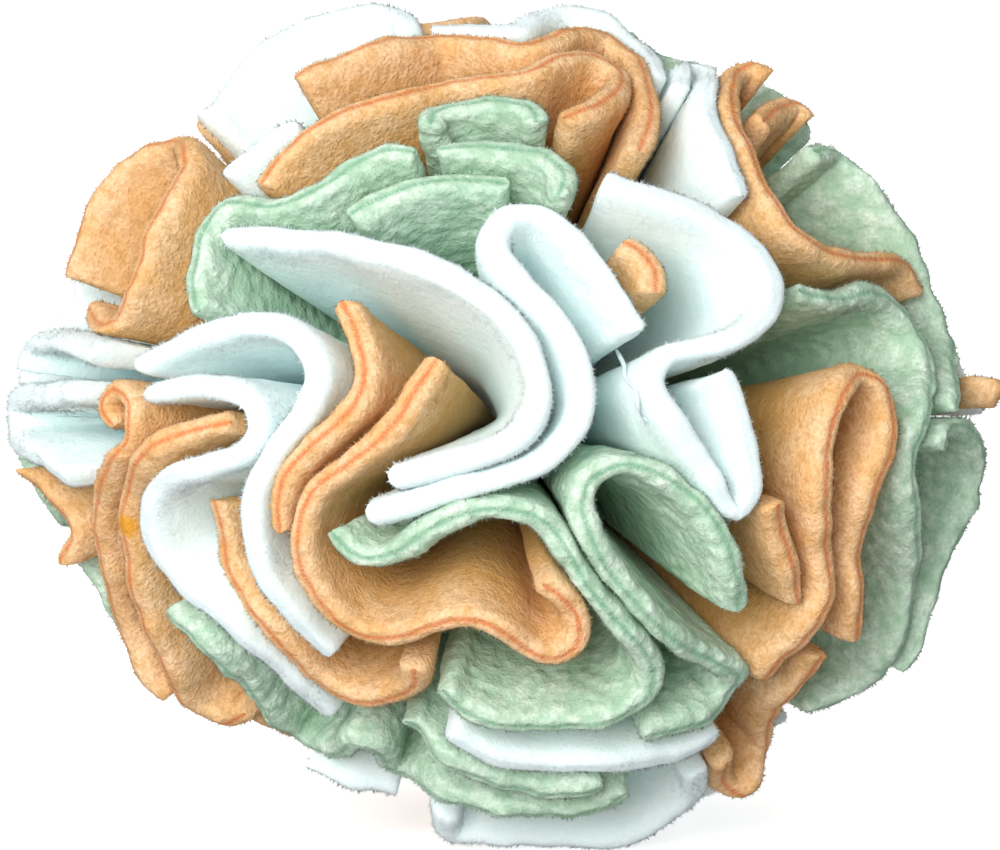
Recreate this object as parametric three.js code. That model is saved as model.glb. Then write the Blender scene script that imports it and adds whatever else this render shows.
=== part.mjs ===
// A dog snuffle ball: ruffled strips of thick fleece, gathered at the middle, whose cut edges
// stand outwards and make the ball. Millimetres, +Z up, the presented side faces -Y.
import * as THREE from "three";

// ---- driving dimensions -------------------------------------------------------------------------
const halfWidth = 83; // centre of the ball to its widest side, along X
const halfHeight = 70.5; // centre of the ball to its top
const halfDepth = 75; // centre of the ball to its back
const centreHeight = 67.5; // centre of the ball above the surface it stands on
const lookUp = THREE.MathUtils.degToRad(10); // how far the presented side faces upwards
const fleece = 3.6; // thickness of the cloth at its cut edge
const clearance = 0.5; // kept between neighbouring strips
const levels = [0.17, 0.58, 1]; // rings of a strip, from its gathered edge to its cut edge
const bendStep = 0.58; // a new section after this much turning, in radians
const straightStep = 12; // or after this length, in millimetres
const rimLimit = 0.985; // how near the widest outline a direction may come, as a share of it
const middle = { x: -0.4, y: 0.4 }; // moves the ball so that its base is centred on the origin

const cloth = {
  white: new THREE.MeshStandardMaterial({ color: 0xe6f1f0, roughness: 0.95, metalness: 0 }),
  orange: new THREE.MeshStandardMaterial({ color: 0xe0a568, roughness: 0.95, metalness: 0 }),
  green: new THREE.MeshStandardMaterial({ color: 0x9cc6a6, roughness: 0.95, metalness: 0 }),
};

// ---- tables -------------------------------------------------------------------------------------
// How far the outline reaches at each turn, in degrees from +X towards +Z, as a share of the
// half sizes: the ball is squashed unevenly.
const at = (turn, reach) => ({ turn, reach });
const outline = [
  at(0, 1), at(15, 0.93), at(30, 0.925), at(45, 0.945), at(60, 0.985), at(68, 0.95), at(82, 0.995),
  at(97, 0.98), at(108, 1.02), at(118, 1.02), at(128, 0.97), at(145, 0.98), at(156, 0.945),
  at(162, 0.915), at(169, 0.99), at(182, 0.99), at(195, 0.93), at(210, 0.915), at(222, 0.925),
  at(234, 0.87), at(241, 0.86), at(250, 0.895), at(256, 0.885), at(264, 0.98), at(270, 1),
  at(285, 1.02), at(298, 0.98), at(307, 0.92), at(315, 0.945), at(325, 0.985), at(338, 0.95),
  at(350, 0.98),
];

// Hollows that the folds lean into on their way down: where, how wide and how strongly, on the
// presented side (-1) or the back (1).
const hollow = (across, up, width, pull, side = -1) => ({ across, up, width, pull, side });
const hollows = [
  hollow(-6, 9, 17, 0.5), // the deep pocket of the big petal
  hollow(-10, -23, 13, 0.55), // between the green ribbon and the orange wave
  hollow(24, -21, 13, 0.45), // inside the green spiral
  hollow(61, -1, 10, 0.45), // inside the orange loop
  hollow(-47, -20, 11, 0.45), // inside the white fork
  hollow(-38, 10, 10, 0.3), // under the white curl
  hollow(26, -3, 12, 0.35), // beside the white twist
  hollow(-60, 30, 9, 0.35), // inside the orange leaf
  hollow(14, 54, 8, 0.4), // inside the orange crown
  hollow(-22, 12, 14, 0.45, 1), // five more on the back
  hollow(14, -18, 14, 0.4, 1),
  hollow(24, 24, 12, 0.4, 1),
  hollow(-34, -32, 14, 0.45, 1),
  hollow(48, -12, 13, 0.4, 1),
];

// A strip's cut edge on the presented side: a row for each fold or turn, in millimetres across
// and up from the middle of the ball. out is how far it stands out, as a share of the ball.
const fold = (across, up, out = 1) => ({ across, up, out });
const presented = [
  { name: "petal", colour: "white", folds: [
    fold(-46, 31.5), fold(-38, 31.5), fold(-28, 30.5, 1.01), fold(-17, 28, 1.02), fold(-8, 24.5, 1.03),
    fold(0, 19, 1.03), fold(5, 12, 1.03), fold(6.5, 5, 1.03), fold(4, -1, 1.02), fold(-1.5, -4.5, 1.01),
    fold(-10, -7), fold(-18, -9)] },
  { name: "swirl", colour: "white", folds: [
    fold(23, 15.5), fold(17, 25), fold(11.5, 32), fold(6, 35.5), fold(1, 34.5), fold(-1, 30.5),
    fold(1, 26.5), fold(5, 22), fold(10, 16.5), fold(13, 9.5, 1.01), fold(13.5, 3, 1.01),
    fold(11.5, -2, 1.01), fold(6.5, -6.5), fold(0, -9), fold(-8.5, -11), fold(-16, -13.5),
    fold(-22, -15)] },
  { name: "twin", colour: "orange", folds: [
    fold(-26.5, 21, 0.94), fold(-24, 15.5, 0.95), fold(-22.5, 9.5, 0.97), fold(-23.5, 4),
    fold(-27.5, -0.5), fold(-31.5, -4), fold(-35, -8), fold(-36.5, -12.5), fold(-36.5, -18)] },
  { name: "wave", colour: "orange", folds: [
    fold(-10.5, 11, 0.95), fold(-14, 6, 0.96), fold(-17, 1, 0.98), fold(-20.5, -3), fold(-25, -6.5),
    fold(-29.5, -9.5), fold(-32, -13), fold(-33, -17.5), fold(-33, -22), fold(-31, -27),
    fold(-27.5, -31.5), fold(-23, -34.5), fold(-17, -35, 1.02), fold(-11, -33, 1.02),
    fold(-5, -32, 1.02), fold(0.5, -34, 1.02), fold(5, -37.5, 1.02), fold(9, -38.5, 1.02),
    fold(12.5, -36.5, 1.01), fold(13, -32.5), fold(10.5, -28.5), fold(7, -26)] },
  { name: "hook", colour: "orange", folds: [
    fold(-47.5, -12, 0.92), fold(-46.5, -17.5, 0.92), fold(-45.5, -23, 0.93), fold(-43, -28.5, 0.95),
    fold(-39.5, -33, 0.98), fold(-35.5, -38.2), fold(-31, -43), fold(-25.5, -46), fold(-19, -46),
    fold(-14.5, -43.5), fold(-14, -40)] },
  { name: "curl", colour: "white", folds: [
    fold(-60, 9.5), fold(-54, 13), fold(-48, 15.5), fold(-42, 17), fold(-36.5, 16.5), fold(-32.5, 13.5),
    fold(-30.5, 8.5), fold(-32, 3), fold(-36, -2.5), fold(-39, -7.5), fold(-41, -13), fold(-41, -19),
    fold(-39.5, -25), fold(-35.5, -31), fold(-32, -35.5), fold(-28.5, -39)] },
  { name: "fork", colour: "white", folds: [
    fold(-58.5, 5), fold(-52, 6.5), fold(-46, 6), fold(-41.5, 3.5), fold(-40.5, -0.5), fold(-43, -4.5),
    fold(-48, -6.5), fold(-54, -8.5), fold(-58, -12), fold(-59, -17), fold(-57.5, -22.5),
    fold(-53, -27.5), fold(-47, -32), fold(-41, -38), fold(-35, -44), fold(-29.5, -49.5)] },
  { name: "left_band", colour: "orange", folds: [
    fold(-63.5, 0), fold(-65.5, 3), fold(-63.5, 5.8), fold(-61, 4), fold(-61.5, -2), fold(-64.5, -7),
    fold(-67, -12.5), fold(-67.5, -18), fold(-66, -25), fold(-63.5, -33), fold(-60.5, -40),
    fold(-56, -46)] },
  { name: "left_fold", colour: "orange", folds: [
    fold(-44.5, 0.5, 0.95), fold(-51, -1, 0.97), fold(-57, -3.5), fold(-61, -8.5), fold(-63, -14),
    fold(-62.5, -21), fold(-61, -28), fold(-58.5, -35), fold(-55, -42), fold(-51, -47.5),
    fold(-46.5, -50), fold(-43, -48.5)] },
  { name: "leaf", colour: "orange", folds: [
    fold(-72.5, 24.5), fold(-69.5, 34), fold(-62.5, 43.5), fold(-55, 47.5), fold(-52, 44),
    fold(-55.5, 36.5), fold(-59.5, 28), fold(-62.5, 20.5), fold(-66, 17), fold(-69, 19.5)] },
  { name: "upper_ear", colour: "white", folds: [
    fold(-67.5, 12), fold(-73, 14.5), fold(-78.5, 13.5), fold(-80, 9.5)] },
  { name: "lower_ear", colour: "white", folds: [
    fold(-70, 5.5), fold(-76, 5), fold(-81.5, 3.5), fold(-81.5, -1.5), fold(-76.5, -5.5),
    fold(-71.5, -9)] },
  { name: "lobe", colour: "orange", folds: [
    fold(-80.5, -7.5), fold(-77, -10.5), fold(-74, -14), fold(-72, -18.5), fold(-73, -23)] },
  { name: "shoulder", colour: "white", folds: [
    fold(-33.5, 49.5), fold(-38, 47.6), fold(-42, 44.8), fold(-45.5, 41.5)] },
  { name: "brow", colour: "green", folds: [
    fold(-50, 18.8), fold(-51, 23), fold(-50, 28), fold(-48.5, 33), fold(-44.5, 36.5), fold(-38, 36),
    fold(-33, 37.5), fold(-28, 40.5), fold(-22.5, 44), fold(-17.5, 45.5), fold(-14, 45)] },
  { name: "under_brow", colour: "green", folds: [
    fold(-25, 34.5, 0.96), fold(-22, 36.5, 0.96), fold(-17.5, 38.5, 0.96), fold(-12, 40, 0.96),
    fold(-5, 40.5, 0.96), fold(1.5, 39.8, 0.96)] },
  { name: "knob", colour: "green", folds: [
    fold(-11.5, 49.5), fold(-10.5, 52), fold(-6, 53), fold(0.5, 53.2), fold(5, 52), fold(6, 49.8)] },
  { name: "shelf", colour: "green", folds: [
    fold(-10.5, 45.5), fold(-4.5, 45.8), fold(3.5, 45.5), fold(8.5, 43.5), fold(10.5, 40.5),
    fold(9.5, 37.5)] },
  { name: "crown", colour: "orange", folds: [
    fold(-34, 57.5), fold(-29, 60), fold(-24, 62), fold(-17.5, 63.5), fold(-10, 64.5), fold(-2.5, 64),
    fold(4, 63), fold(8.5, 64.3), fold(13, 65.8), fold(18, 65), fold(22.5, 61.5), fold(24.5, 57),
    fold(25, 51.5), fold(23, 45.5)] },
  { name: "crown_curl", colour: "orange", folds: [
    fold(-39.5, 40), fold(-37, 43.5), fold(-31.5, 48.5), fold(-25, 52), fold(-17, 54.8), fold(-8, 56.8),
    fold(0, 57.5), fold(5.5, 58.5), fold(10, 60.8), fold(15, 61.5), fold(19.5, 59.5), fold(19.5, 55.5),
    fold(15.5, 52.5), fold(10.5, 51)] },
  { name: "cap", colour: "white", folds: [
    fold(-50, 51.5), fold(-47, 55.5), fold(-43, 60.5), fold(-38, 64.5), fold(-33, 67.5),
    fold(-27.5, 69.5), fold(-22, 70), fold(-17, 68.5), fold(-15, 66.8)] },
  { name: "cap_tail", colour: "white", folds: [
    fold(-11, 66.3), fold(-3.5, 65.8), fold(2, 65.8), fold(6, 67.8), fold(11, 69.3), fold(17.5, 68),
    fold(23.5, 63.5), fold(27, 58.5)] },
  { name: "spear", colour: "white", folds: [
    fold(30, 56.5), fold(32, 60.5), fold(34.5, 59.5), fold(34.5, 54.5), fold(36.2, 48.5),
    fold(38.5, 43), fold(40.5, 38)] },
  { name: "twist", colour: "white", folds: [
    fold(17.5, 41), fold(23, 39), fold(31, 36.5), fold(37.5, 33), fold(43, 28.5, 1.02),
    fold(45.5, 23.5, 1.03), fold(44, 18, 1.03), fold(39.5, 14.5, 1.02), fold(33.5, 13), fold(28, 11.5),
    fold(25.5, 7.5), fold(27, 3), fold(30.5, -2), fold(34, -7), fold(37, -12), fold(39.5, -14.5),
    fold(41.5, -12), fold(41.5, -6.5), fold(40.2, 0), fold(38.5, 5.5), fold(36.5, 9)] },
  { name: "strap", colour: "orange", folds: [
    fold(45.5, 59), fold(42.5, 60), fold(39.8, 59), fold(38.5, 56), fold(38.5, 52.5), fold(40, 48),
    fold(42.5, 43), fold(45.5, 37.5), fold(48.5, 33), fold(52.5, 30), fold(58, 28), fold(63.5, 27.5),
    fold(67.5, 26.5), fold(70.5, 22.5)] },
  { name: "corner", colour: "orange", folds: [
    fold(43.8, 50.5), fold(46.5, 52.8), fold(49.8, 53.4), fold(52.4, 51.8)] },
  { name: "flank", colour: "green", folds: [
    fold(52.5, 45.8), fold(56.8, 45.4), fold(61, 42), fold(66, 35.5), fold(70, 27.5), fold(73, 21),
    fold(75, 15), fold(75.5, 9), fold(75.5, 2.5)] },
  { name: "skirt", colour: "green", folds: [
    fold(49.5, 22.5), fold(52.5, 21.5), fold(57, 21), fold(62, 22), fold(66.5, 20), fold(69.5, 15.5),
    fold(71.5, 10), fold(71.5, 4), fold(69.5, -2.5), fold(68.5, -9.5), fold(69, -17), fold(69, -24),
    fold(68, -31), fold(66, -37), fold(62.5, -42.5), fold(57, -46), fold(51, -48)] },
  { name: "loop", colour: "orange", folds: [
    fold(44, -42.5), fold(46, -39.5), fold(49, -36.5), fold(52.5, -32.5), fold(54.5, -28),
    fold(54.5, -23), fold(53.5, -17), fold(53.5, -9.5), fold(54.5, -1), fold(56.5, 5, 1.02),
    fold(60, 8.5, 1.02), fold(63.5, 7, 1.02), fold(65, 2), fold(64, -4.5), fold(61.5, -11),
    fold(60, -18), fold(59.5, -27), fold(59, -36)] },
  { name: "flap", colour: "orange", folds: [
    fold(45.5, -13), fold(46.5, -18, 0.98), fold(48.5, -24, 0.98), fold(49.5, -29.5, 0.97)] },
  { name: "heel", colour: "orange", folds: [
    fold(53.5, -38.5), fold(51, -42), fold(47.5, -46), fold(44.8, -50), fold(44.4, -54.5),
    fold(43.6, -59), fold(40.2, -61.8), fold(37.3, -59.6), fold(37.6, -56)] },
  { name: "spiral", colour: "green", folds: [
    fold(39.5, -31), fold(38.5, -24), fold(36, -17), fold(31.5, -11.5), fold(26, -8), fold(20.5, -6.5),
    fold(15.5, -8.5), fold(13.5, -12.5), fold(14.5, -17.5), fold(17.5, -23.5), fold(22, -29),
    fold(26.5, -33.5), fold(31, -37), fold(36, -39.5), fold(39.5, -42), fold(37, -46.5),
    fold(30.5, -49.8), fold(24, -51.5)] },
  { name: "ribbon", colour: "green", folds: [
    fold(-28, -17.5, 0.97), fold(-25.5, -20.5, 0.97), fold(-22, -22, 0.97), fold(-17.5, -21, 0.98),
    fold(-13, -18), fold(-8.5, -15.5), fold(-3.5, -14), fold(2.5, -14), fold(7.5, -16), fold(11, -20.5),
    fold(14.5, -26.5), fold(19, -32), fold(23.5, -37), fold(25.5, -41.5), fold(24.5, -45),
    fold(20, -47.8), fold(14, -49.3), fold(6, -49.8), fold(-1.5, -49), fold(-7, -47),
    fold(-9.5, -44)] },
  { name: "saucer", colour: "white", folds: [
    fold(-8.5, -51), fold(-5, -53.2), fold(0, -55.5), fold(6.5, -56.5), fold(14, -56.5), fold(23, -56),
    fold(31.5, -54), fold(36.5, -51.5)] },
  { name: "ledge", colour: "green", folds: [
    fold(-16, -50), fold(-12.5, -52.5), fold(-8, -56.5), fold(1, -60), fold(9, -60.8), fold(17, -60)] },
  { name: "vine", colour: "green", folds: [
    fold(-56, -31.5), fold(-50, -36.5), fold(-45, -42), fold(-39, -49.5), fold(-33.5, -53.5),
    fold(-28, -55.5), fold(-24.5, -53.5), fold(-21.5, -54.5), fold(-17.5, -58.5), fold(-10, -62),
    fold(-2, -63.8), fold(9, -64.5), fold(16.5, -64), fold(21, -61.5)] },
  { name: "hem", colour: "white", folds: [
    fold(-9.5, -65.5), fold(-8, -68.5), fold(-1.5, -69.8), fold(6.5, -70.5), fold(17.5, -69.8),
    fold(27.5, -66.5), fold(32.5, -62), fold(33, -58)] },
  { name: "toe", colour: "white", folds: [
    fold(-32.5, -57), fold(-28, -59), fold(-22.5, -60.8), fold(-17.5, -62)] },
  { name: "key", colour: "orange", folds: [
    fold(79, 8), fold(83, 7.5), fold(82.5, 3)] },
  { name: "frill", colour: "green", folds: [
    fold(72.8, -4), fold(74, -1), fold(77.5, 0), fold(80, -2.5), fold(80, -8.5), fold(78.5, -15),
    fold(75.5, -21), fold(72.5, -26.5), fold(71.5, -32), fold(70, -37), fold(67, -41)] },
  { name: "dot", colour: "orange", folds: [
    fold(20.5, 30.5, 0.94), fold(23.5, 28.5, 0.94), fold(25.6, 25.4, 0.94), fold(25.8, 22, 0.94)] },
];

// The same for the middle of the back, as seen from behind.
const hidden = [
  { name: "back_rose", colour: "orange", folds: [
    fold(-6, 14), fold(3, 16), fold(9, 10), fold(5, 3), fold(-3, -1), fold(-9, -8), fold(-4, -15),
    fold(5, -15)] },
  { name: "back_swirl", colour: "white", folds: [
    fold(12, 22), fold(19, 14), fold(18, 4), fold(12, -3), fold(12, -10), fold(14, -18), fold(8, -24),
    fold(-4, -24), fold(-14, -20)] },
  { name: "back_bend", colour: "green", folds: [
    fold(4, 24), fold(-6, 23), fold(-15, 19), fold(-18, 10), fold(-13, 3), fold(-17, -4),
    fold(-18, -12), fold(-24, -16), fold(-30, -10), fold(-28, 0), fold(-26, 10), fold(-27, 20),
    fold(-20, 28), fold(-10, 31)] },
  { name: "back_arc", colour: "orange", folds: [
    fold(0, 33), fold(10, 31), fold(20, 26), fold(27, 17), fold(26, 6), fold(20, -3), fold(21, -12),
    fold(22, -22), fold(14, -31), fold(2, -33)] },
  { name: "back_wrap", colour: "white", folds: [
    fold(-8, -31), fold(-18, -28), fold(-28, -23), fold(-36, -14), fold(-36, -2), fold(-34, 10),
    fold(-36, 20), fold(-30, 30), fold(-20, 37), fold(-6, 40)] },
  { name: "back_side", colour: "green", folds: [
    fold(36, 26), fold(35, 14), fold(31, 4), fold(32, -6), fold(31, -18), fold(27, -28), fold(18, -38),
    fold(6, -42), fold(-6, -41)] },
  { name: "back_sweep", colour: "orange", folds: [
    fold(6, 42), fold(17, 38), fold(27, 35), fold(38, 33), fold(44, 24), fold(43, 12), fold(39, 3),
    fold(41, -8), fold(40, -20), fold(35, -31), fold(28, -40)] },
  { name: "back_left", colour: "white", folds: [
    fold(-14, -38), fold(-24, -34), fold(-34, -29), fold(-42, -20), fold(-45, -8), fold(-42, 4),
    fold(-44, 14), fold(-45, 24)] },
  { name: "back_top", colour: "green", folds: [
    fold(-38, 35), fold(-28, 43), fold(-16, 47), fold(-4, 49), fold(8, 50), fold(19, 46)] },
  { name: "back_base", colour: "green", folds: [
    fold(-24, -43), fold(-12, -48), fold(0, -50), fold(14, -49), fold(23, -46)] },
];

// Strips that go to and fro around the back, from its middle to just past the widest outline:
// the turn of each first leg, and the tilt from the middle of the back at each end and bend, with
// how far each leg is nudged aside, all in degrees.
const legPitch = 8.7;
const ruffles = [
  { name: "ruffle_1", colour: "white", start: 4, tilts: [56, 95, 52, 91, 57, 95],
    nudge: [0, 1.4, -0.8, 0.6, 0] },
  { name: "ruffle_2", colour: "green", start: 49, tilts: [52, 92, 58, 95, 51, 90],
    nudge: [0.6, -1.2, 0.8, -0.6, 0.8] },
  { name: "ruffle_3", colour: "orange", start: 94, tilts: [60, 94, 53, 96, 56, 85],
    nudge: [-0.5, 0.9, 0.4, -1.3, 0.3] },
  { name: "ruffle_4", colour: "white", start: 139, tilts: [54, 96, 58, 90, 52, 95],
    nudge: [0, -0.8, 1.3, 0.5, -0.5] },
  { name: "ruffle_5", colour: "green", start: 184, tilts: [58, 93, 51, 95, 59, 92],
    nudge: [0.7, 0.3, -1.2, 0.9, 0] },
  { name: "ruffle_6", colour: "orange", start: 229, tilts: [53, 96, 56, 91, 52, 96],
    nudge: [0, 1, -0.6, -1, 0.5] },
  { name: "ruffle_7", colour: "white", start: 274, tilts: [57, 92, 60, 96, 54, 90],
    nudge: [0.4, -1.3, 0.6, 0.8, -0.4] },
  { name: "ruffle_8", colour: "orange", start: 319, tilts: [52, 95, 57, 93, 58, 95],
    nudge: [-0.3, 0.7, -1, 1.2, 0] },
];

// ---- the shape of the ball ----------------------------------------------------------------------
// The outline's reach at a turn, blended smoothly between its rows.
function reachAt(turn) {
  const wrapped = ((turn % 360) + 360) % 360;
  const next = outline.findIndex((row) => row.turn > wrapped);
  const b = next < 0 ? outline[0] : outline[next];
  const a = next < 0 ? outline[outline.length - 1] : outline[next - 1];
  const span = (b.turn - a.turn + 360) % 360;
  const share = (wrapped - a.turn) / span;
  return THREE.MathUtils.lerp(a.reach, b.reach, share * share * (3 - 2 * share));
}

// How much the ball is squashed in a direction: nothing at its front and back, all at its outline.
function squash(x, z) {
  const turn = THREE.MathUtils.radToDeg(Math.atan2(z, x));
  return 1 + (reachAt(turn) - 1) * THREE.MathUtils.smoothstep(Math.hypot(x, z), 0.45, 0.95);
}

// The direction from the centre to a place on the presented side (side -1) or the back (side 1).
function direction(across, up, side) {
  let x = (-side * across) / halfWidth;
  let z = up / halfHeight;
  const size = squash(x, z);
  x /= size;
  z /= size;
  const spread = Math.hypot(x, z);
  const kept = Math.min(spread, rimLimit);
  const extra = spread > rimLimit ? spread / rimLimit : 1;
  if (spread > 0) {
    x *= kept / spread;
    z *= kept / spread;
  }
  return { way: new THREE.Vector3(x, side * Math.sqrt(1 - x * x - z * z), z), extra };
}

// The place at a share of the way out, in the part's own frame, with the small flat spot where
// the ball stands.
function place(way, share) {
  const size = share * squash(way.x, way.z);
  const x = way.x * halfWidth * size;
  const y = way.y * halfDepth * size;
  const z = way.z * halfHeight * size;
  const point = new THREE.Vector3(
    x, y * Math.cos(lookUp) + z * Math.sin(lookUp), z * Math.cos(lookUp) - y * Math.sin(lookUp));
  if (point.z < -centreHeight) point.multiplyScalar(-centreHeight / point.z);
  return point.add(new THREE.Vector3(middle.x, middle.y, centreHeight));
}

// A direction leaned into the hollows near it. depth is 0 at the cut edge and 1 far in.
const hollowPlaces = hollows.map((row) => ({
  ...row, way: direction(row.across, row.up, row.side).way, spread: row.width / halfHeight }));
function leaned(way, depth) {
  const moved = way.clone();
  for (const row of hollowPlaces) {
    const offset = row.way.clone().sub(way);
    const fade = Math.exp(-offset.lengthSq() / (2 * row.spread * row.spread));
    moved.addScaledVector(offset, row.pull * depth * fade);
  }
  return moved.normalize();
}

// ---- the strips ---------------------------------------------------------------------------------
// The rim of one ruffle of the back: legs to and fro, joined by round bends.
function ruffleRim(ruffle) {
  const rows = [];
  ruffle.nudge.forEach((nudge, leg) => {
    const turn = ruffle.start + leg * legPitch + nudge;
    const [first, last] = [ruffle.tilts[leg], ruffle.tilts[leg + 1]];
    const inset = last > first ? 4 : -4;
    rows.push([turn, first + inset], [turn + nudge / 2, (first + last) / 2], [turn, last - inset]);
    if (leg + 1 < ruffle.nudge.length) rows.push([turn + (legPitch + nudge) / 2, last]);
  });
  return rows.map(([turn, tilt]) => {
    const t = THREE.MathUtils.degToRad(turn);
    const p = THREE.MathUtils.degToRad(tilt);
    const way = new THREE.Vector3(Math.sin(p) * Math.cos(t), Math.cos(p), Math.sin(p) * Math.sin(t));
    return { way, out: 0.985 };
  });
}

function foldRim(strip, side) {
  return strip.folds.map((row) => {
    const { way, extra } = direction(row.across / row.out, row.up / row.out, side);
    return { way, out: row.out * extra };
  });
}

// Sections along a rim: closer together where it turns.
function sections(rim) {
  const curve = new THREE.CatmullRomCurve3(rim.map((row) => row.way), false, "centripetal");
  const outs = new THREE.CatmullRomCurve3(rim.map((row, i) => new THREE.Vector3(i, row.out, 0)));
  const fine = Math.ceil((curve.getLength() * halfWidth) / 0.8);
  const kept = [];
  let turned = 0;
  let run = 0;
  for (let i = 0; i <= fine; i += 1) {
    const t = i / fine;
    const heading = curve.getTangent(t);
    if (i > 0) {
      turned += heading.angleTo(curve.getTangent((i - 1) / fine));
      run += curve.getPoint(t).distanceTo(curve.getPoint((i - 1) / fine)) * halfWidth;
    }
    if (i === 0 || i === fine || turned > bendStep || run > straightStep) {
      if (i === fine && kept.length > 1 && run < 2.5) kept.pop();
      kept.push({ way: curve.getPoint(t).normalize(), out: outs.getPoint(t).y });
      turned = 0;
      run = 0;
    }
  }
  return kept;
}

// The distance from a point to the line between two others.
function distanceToLine(point, a, b) {
  return new THREE.Line3(a, b).closestPointToPoint(point, true, new THREE.Vector3()).distanceTo(point);
}

// Half the room, as an angle, that each section of a strip has to its nearest neighbour, or to its
// own folds further along. Both the sections and the straight lines between them keep clear.
function halfRoom(lines, which) {
  const own = lines[which];
  const along = [0];
  for (let i = 1; i < own.length; i += 1) along.push(along[i - 1] + own[i].distanceTo(own[i - 1]));
  const room = own.map(() => 1);
  const narrow = (i, away) => {
    room[i] = Math.min(room[i], away);
  };
  const folded = (i, j, away) =>
    Math.min(Math.abs(along[j] - along[i]), Math.abs(along[j + 1] - along[i])) > 1.6 * away;
  lines.forEach((other, k) => {
    for (let i = 0; i < own.length; i += 1) {
      for (let j = 0; j + 1 < other.length; j += 1) {
        const away = distanceToLine(own[i], other[j], other[j + 1]);
        if (k !== which || folded(i, j, away)) narrow(i, away);
      }
    }
    for (let i = 0; i + 1 < own.length; i += 1) {
      for (let j = 0; j < other.length; j += 1) {
        const away = distanceToLine(other[j], own[i], own[i + 1]);
        if (k !== which || folded(j, i, away)) {
          narrow(i, away);
          narrow(i + 1, away);
        }
      }
    }
  });
  for (let i = 1; i + 1 < own.length; i += 1) {
    const before = own[i].clone().sub(own[i - 1]);
    const after = own[i + 1].clone().sub(own[i]);
    const turn = before.angleTo(after);
    narrow(i, (0.95 * Math.min(before.length(), after.length())) / Math.tan(turn / 2 + 1e-6));
  }
  return room.map((value) => value / 2);
}

// The closed skin over rings of corners, one ring a section.
function skin(rings) {
  const corners = rings[0].length;
  const positions = rings.flat().flatMap((point) => point.toArray());
  const faces = [];
  for (let i = 0; i + 1 < rings.length; i += 1) {
    for (let c = 0; c < corners; c += 1) {
      const a = i * corners + c;
      const b = i * corners + ((c + 1) % corners);
      faces.push(a, b, a + corners, b, b + corners, a + corners);
    }
  }
  const last = (rings.length - 1) * corners;
  const half = corners / 2;
  for (let c = 0; c + 1 < half; c += 1) {
    const mirror = corners - 1 - c;
    faces.push(c, mirror, c + 1, c + 1, mirror, mirror - 1);
    faces.push(last + c, last + c + 1, last + mirror);
    faces.push(last + c + 1, last + mirror - 1, last + mirror);
  }
  const geometry = new THREE.BufferGeometry();
  geometry.setAttribute("position", new THREE.Float32BufferAttribute(positions, 3));
  geometry.setIndex(faces);
  geometry.computeVertexNormals();
  return geometry;
}

// ---- the ball -----------------------------------------------------------------------------------
const strips = [
  ...presented.map((strip) => ({ ...strip, rim: foldRim(strip, -1) })),
  ...hidden.map((strip) => ({ ...strip, rim: foldRim(strip, 1) })),
  ...ruffles.map((strip) => ({ ...strip, rim: ruffleRim(strip) })),
].map((strip) => ({ ...strip, sections: sections(strip.rim) }));

// At each level, every strip's line of directions and the room around it.
const leanShare = (level) => THREE.MathUtils.smoothstep(1 - level, 0, 0.5);
const layers = levels.map((level) => {
  const lines = strips.map((strip) =>
    strip.sections.map((section) => leaned(section.way, leanShare(level * section.out))));
  return { level, lines, rooms: lines.map((line, which) => halfRoom(lines, which)) };
});

function stripGeometry(which) {
  const { sections: rows } = strips[which];
  const rings = rows.map((row, i) => {
    const left = [];
    const right = [];
    for (const { level, lines, rooms } of layers) {
      const line = lines[which];
      const share = level * row.out;
      const radius = share * halfHeight;
      const half = Math.min(fleece / 2, Math.max(rooms[which][i] * radius - clearance / 2, 0.12));
      const heading = line[Math.min(i + 1, line.length - 1)].clone().sub(line[Math.max(i - 1, 0)]);
      const side = line[i].clone().cross(heading).normalize().multiplyScalar(half / radius);
      left.push(place(line[i].clone().add(side).normalize(), share));
      right.unshift(place(line[i].clone().sub(side).normalize(), share));
    }
    return [...left, ...right];
  });
  return skin(rings);
}

const ball = new THREE.Group();
strips.forEach((strip, which) => {
  const mesh = new THREE.Mesh(stripGeometry(which), cloth[strip.colour]);
  mesh.name = strip.name;
  ball.add(mesh);
});

export default ball;
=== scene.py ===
"""A dog snuffle ball: ruffled strips of thick fleece, gathered at the middle, whose cut edges stand
outwards and make the ball. Laid out as an add-on whose operators make its pieces in order."""

import math
from collections import namedtuple

import bpy
import numpy as np
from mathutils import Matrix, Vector


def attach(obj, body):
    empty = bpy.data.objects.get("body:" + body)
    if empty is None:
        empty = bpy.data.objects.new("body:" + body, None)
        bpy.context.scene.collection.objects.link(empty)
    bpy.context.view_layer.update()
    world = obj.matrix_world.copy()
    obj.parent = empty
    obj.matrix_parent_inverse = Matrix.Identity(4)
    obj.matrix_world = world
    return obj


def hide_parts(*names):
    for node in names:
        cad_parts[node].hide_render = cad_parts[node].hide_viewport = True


bl_info = {
    "name": "Snuffle ball",
    "version": (1, 0, 0),
    "blender": (4, 5, 0),
    "location": "3D View > Sidebar > Snuffle ball",
    "description": "Makes a dog snuffle ball of gathered fleece strips",
    "category": "Add Mesh",
}

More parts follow.
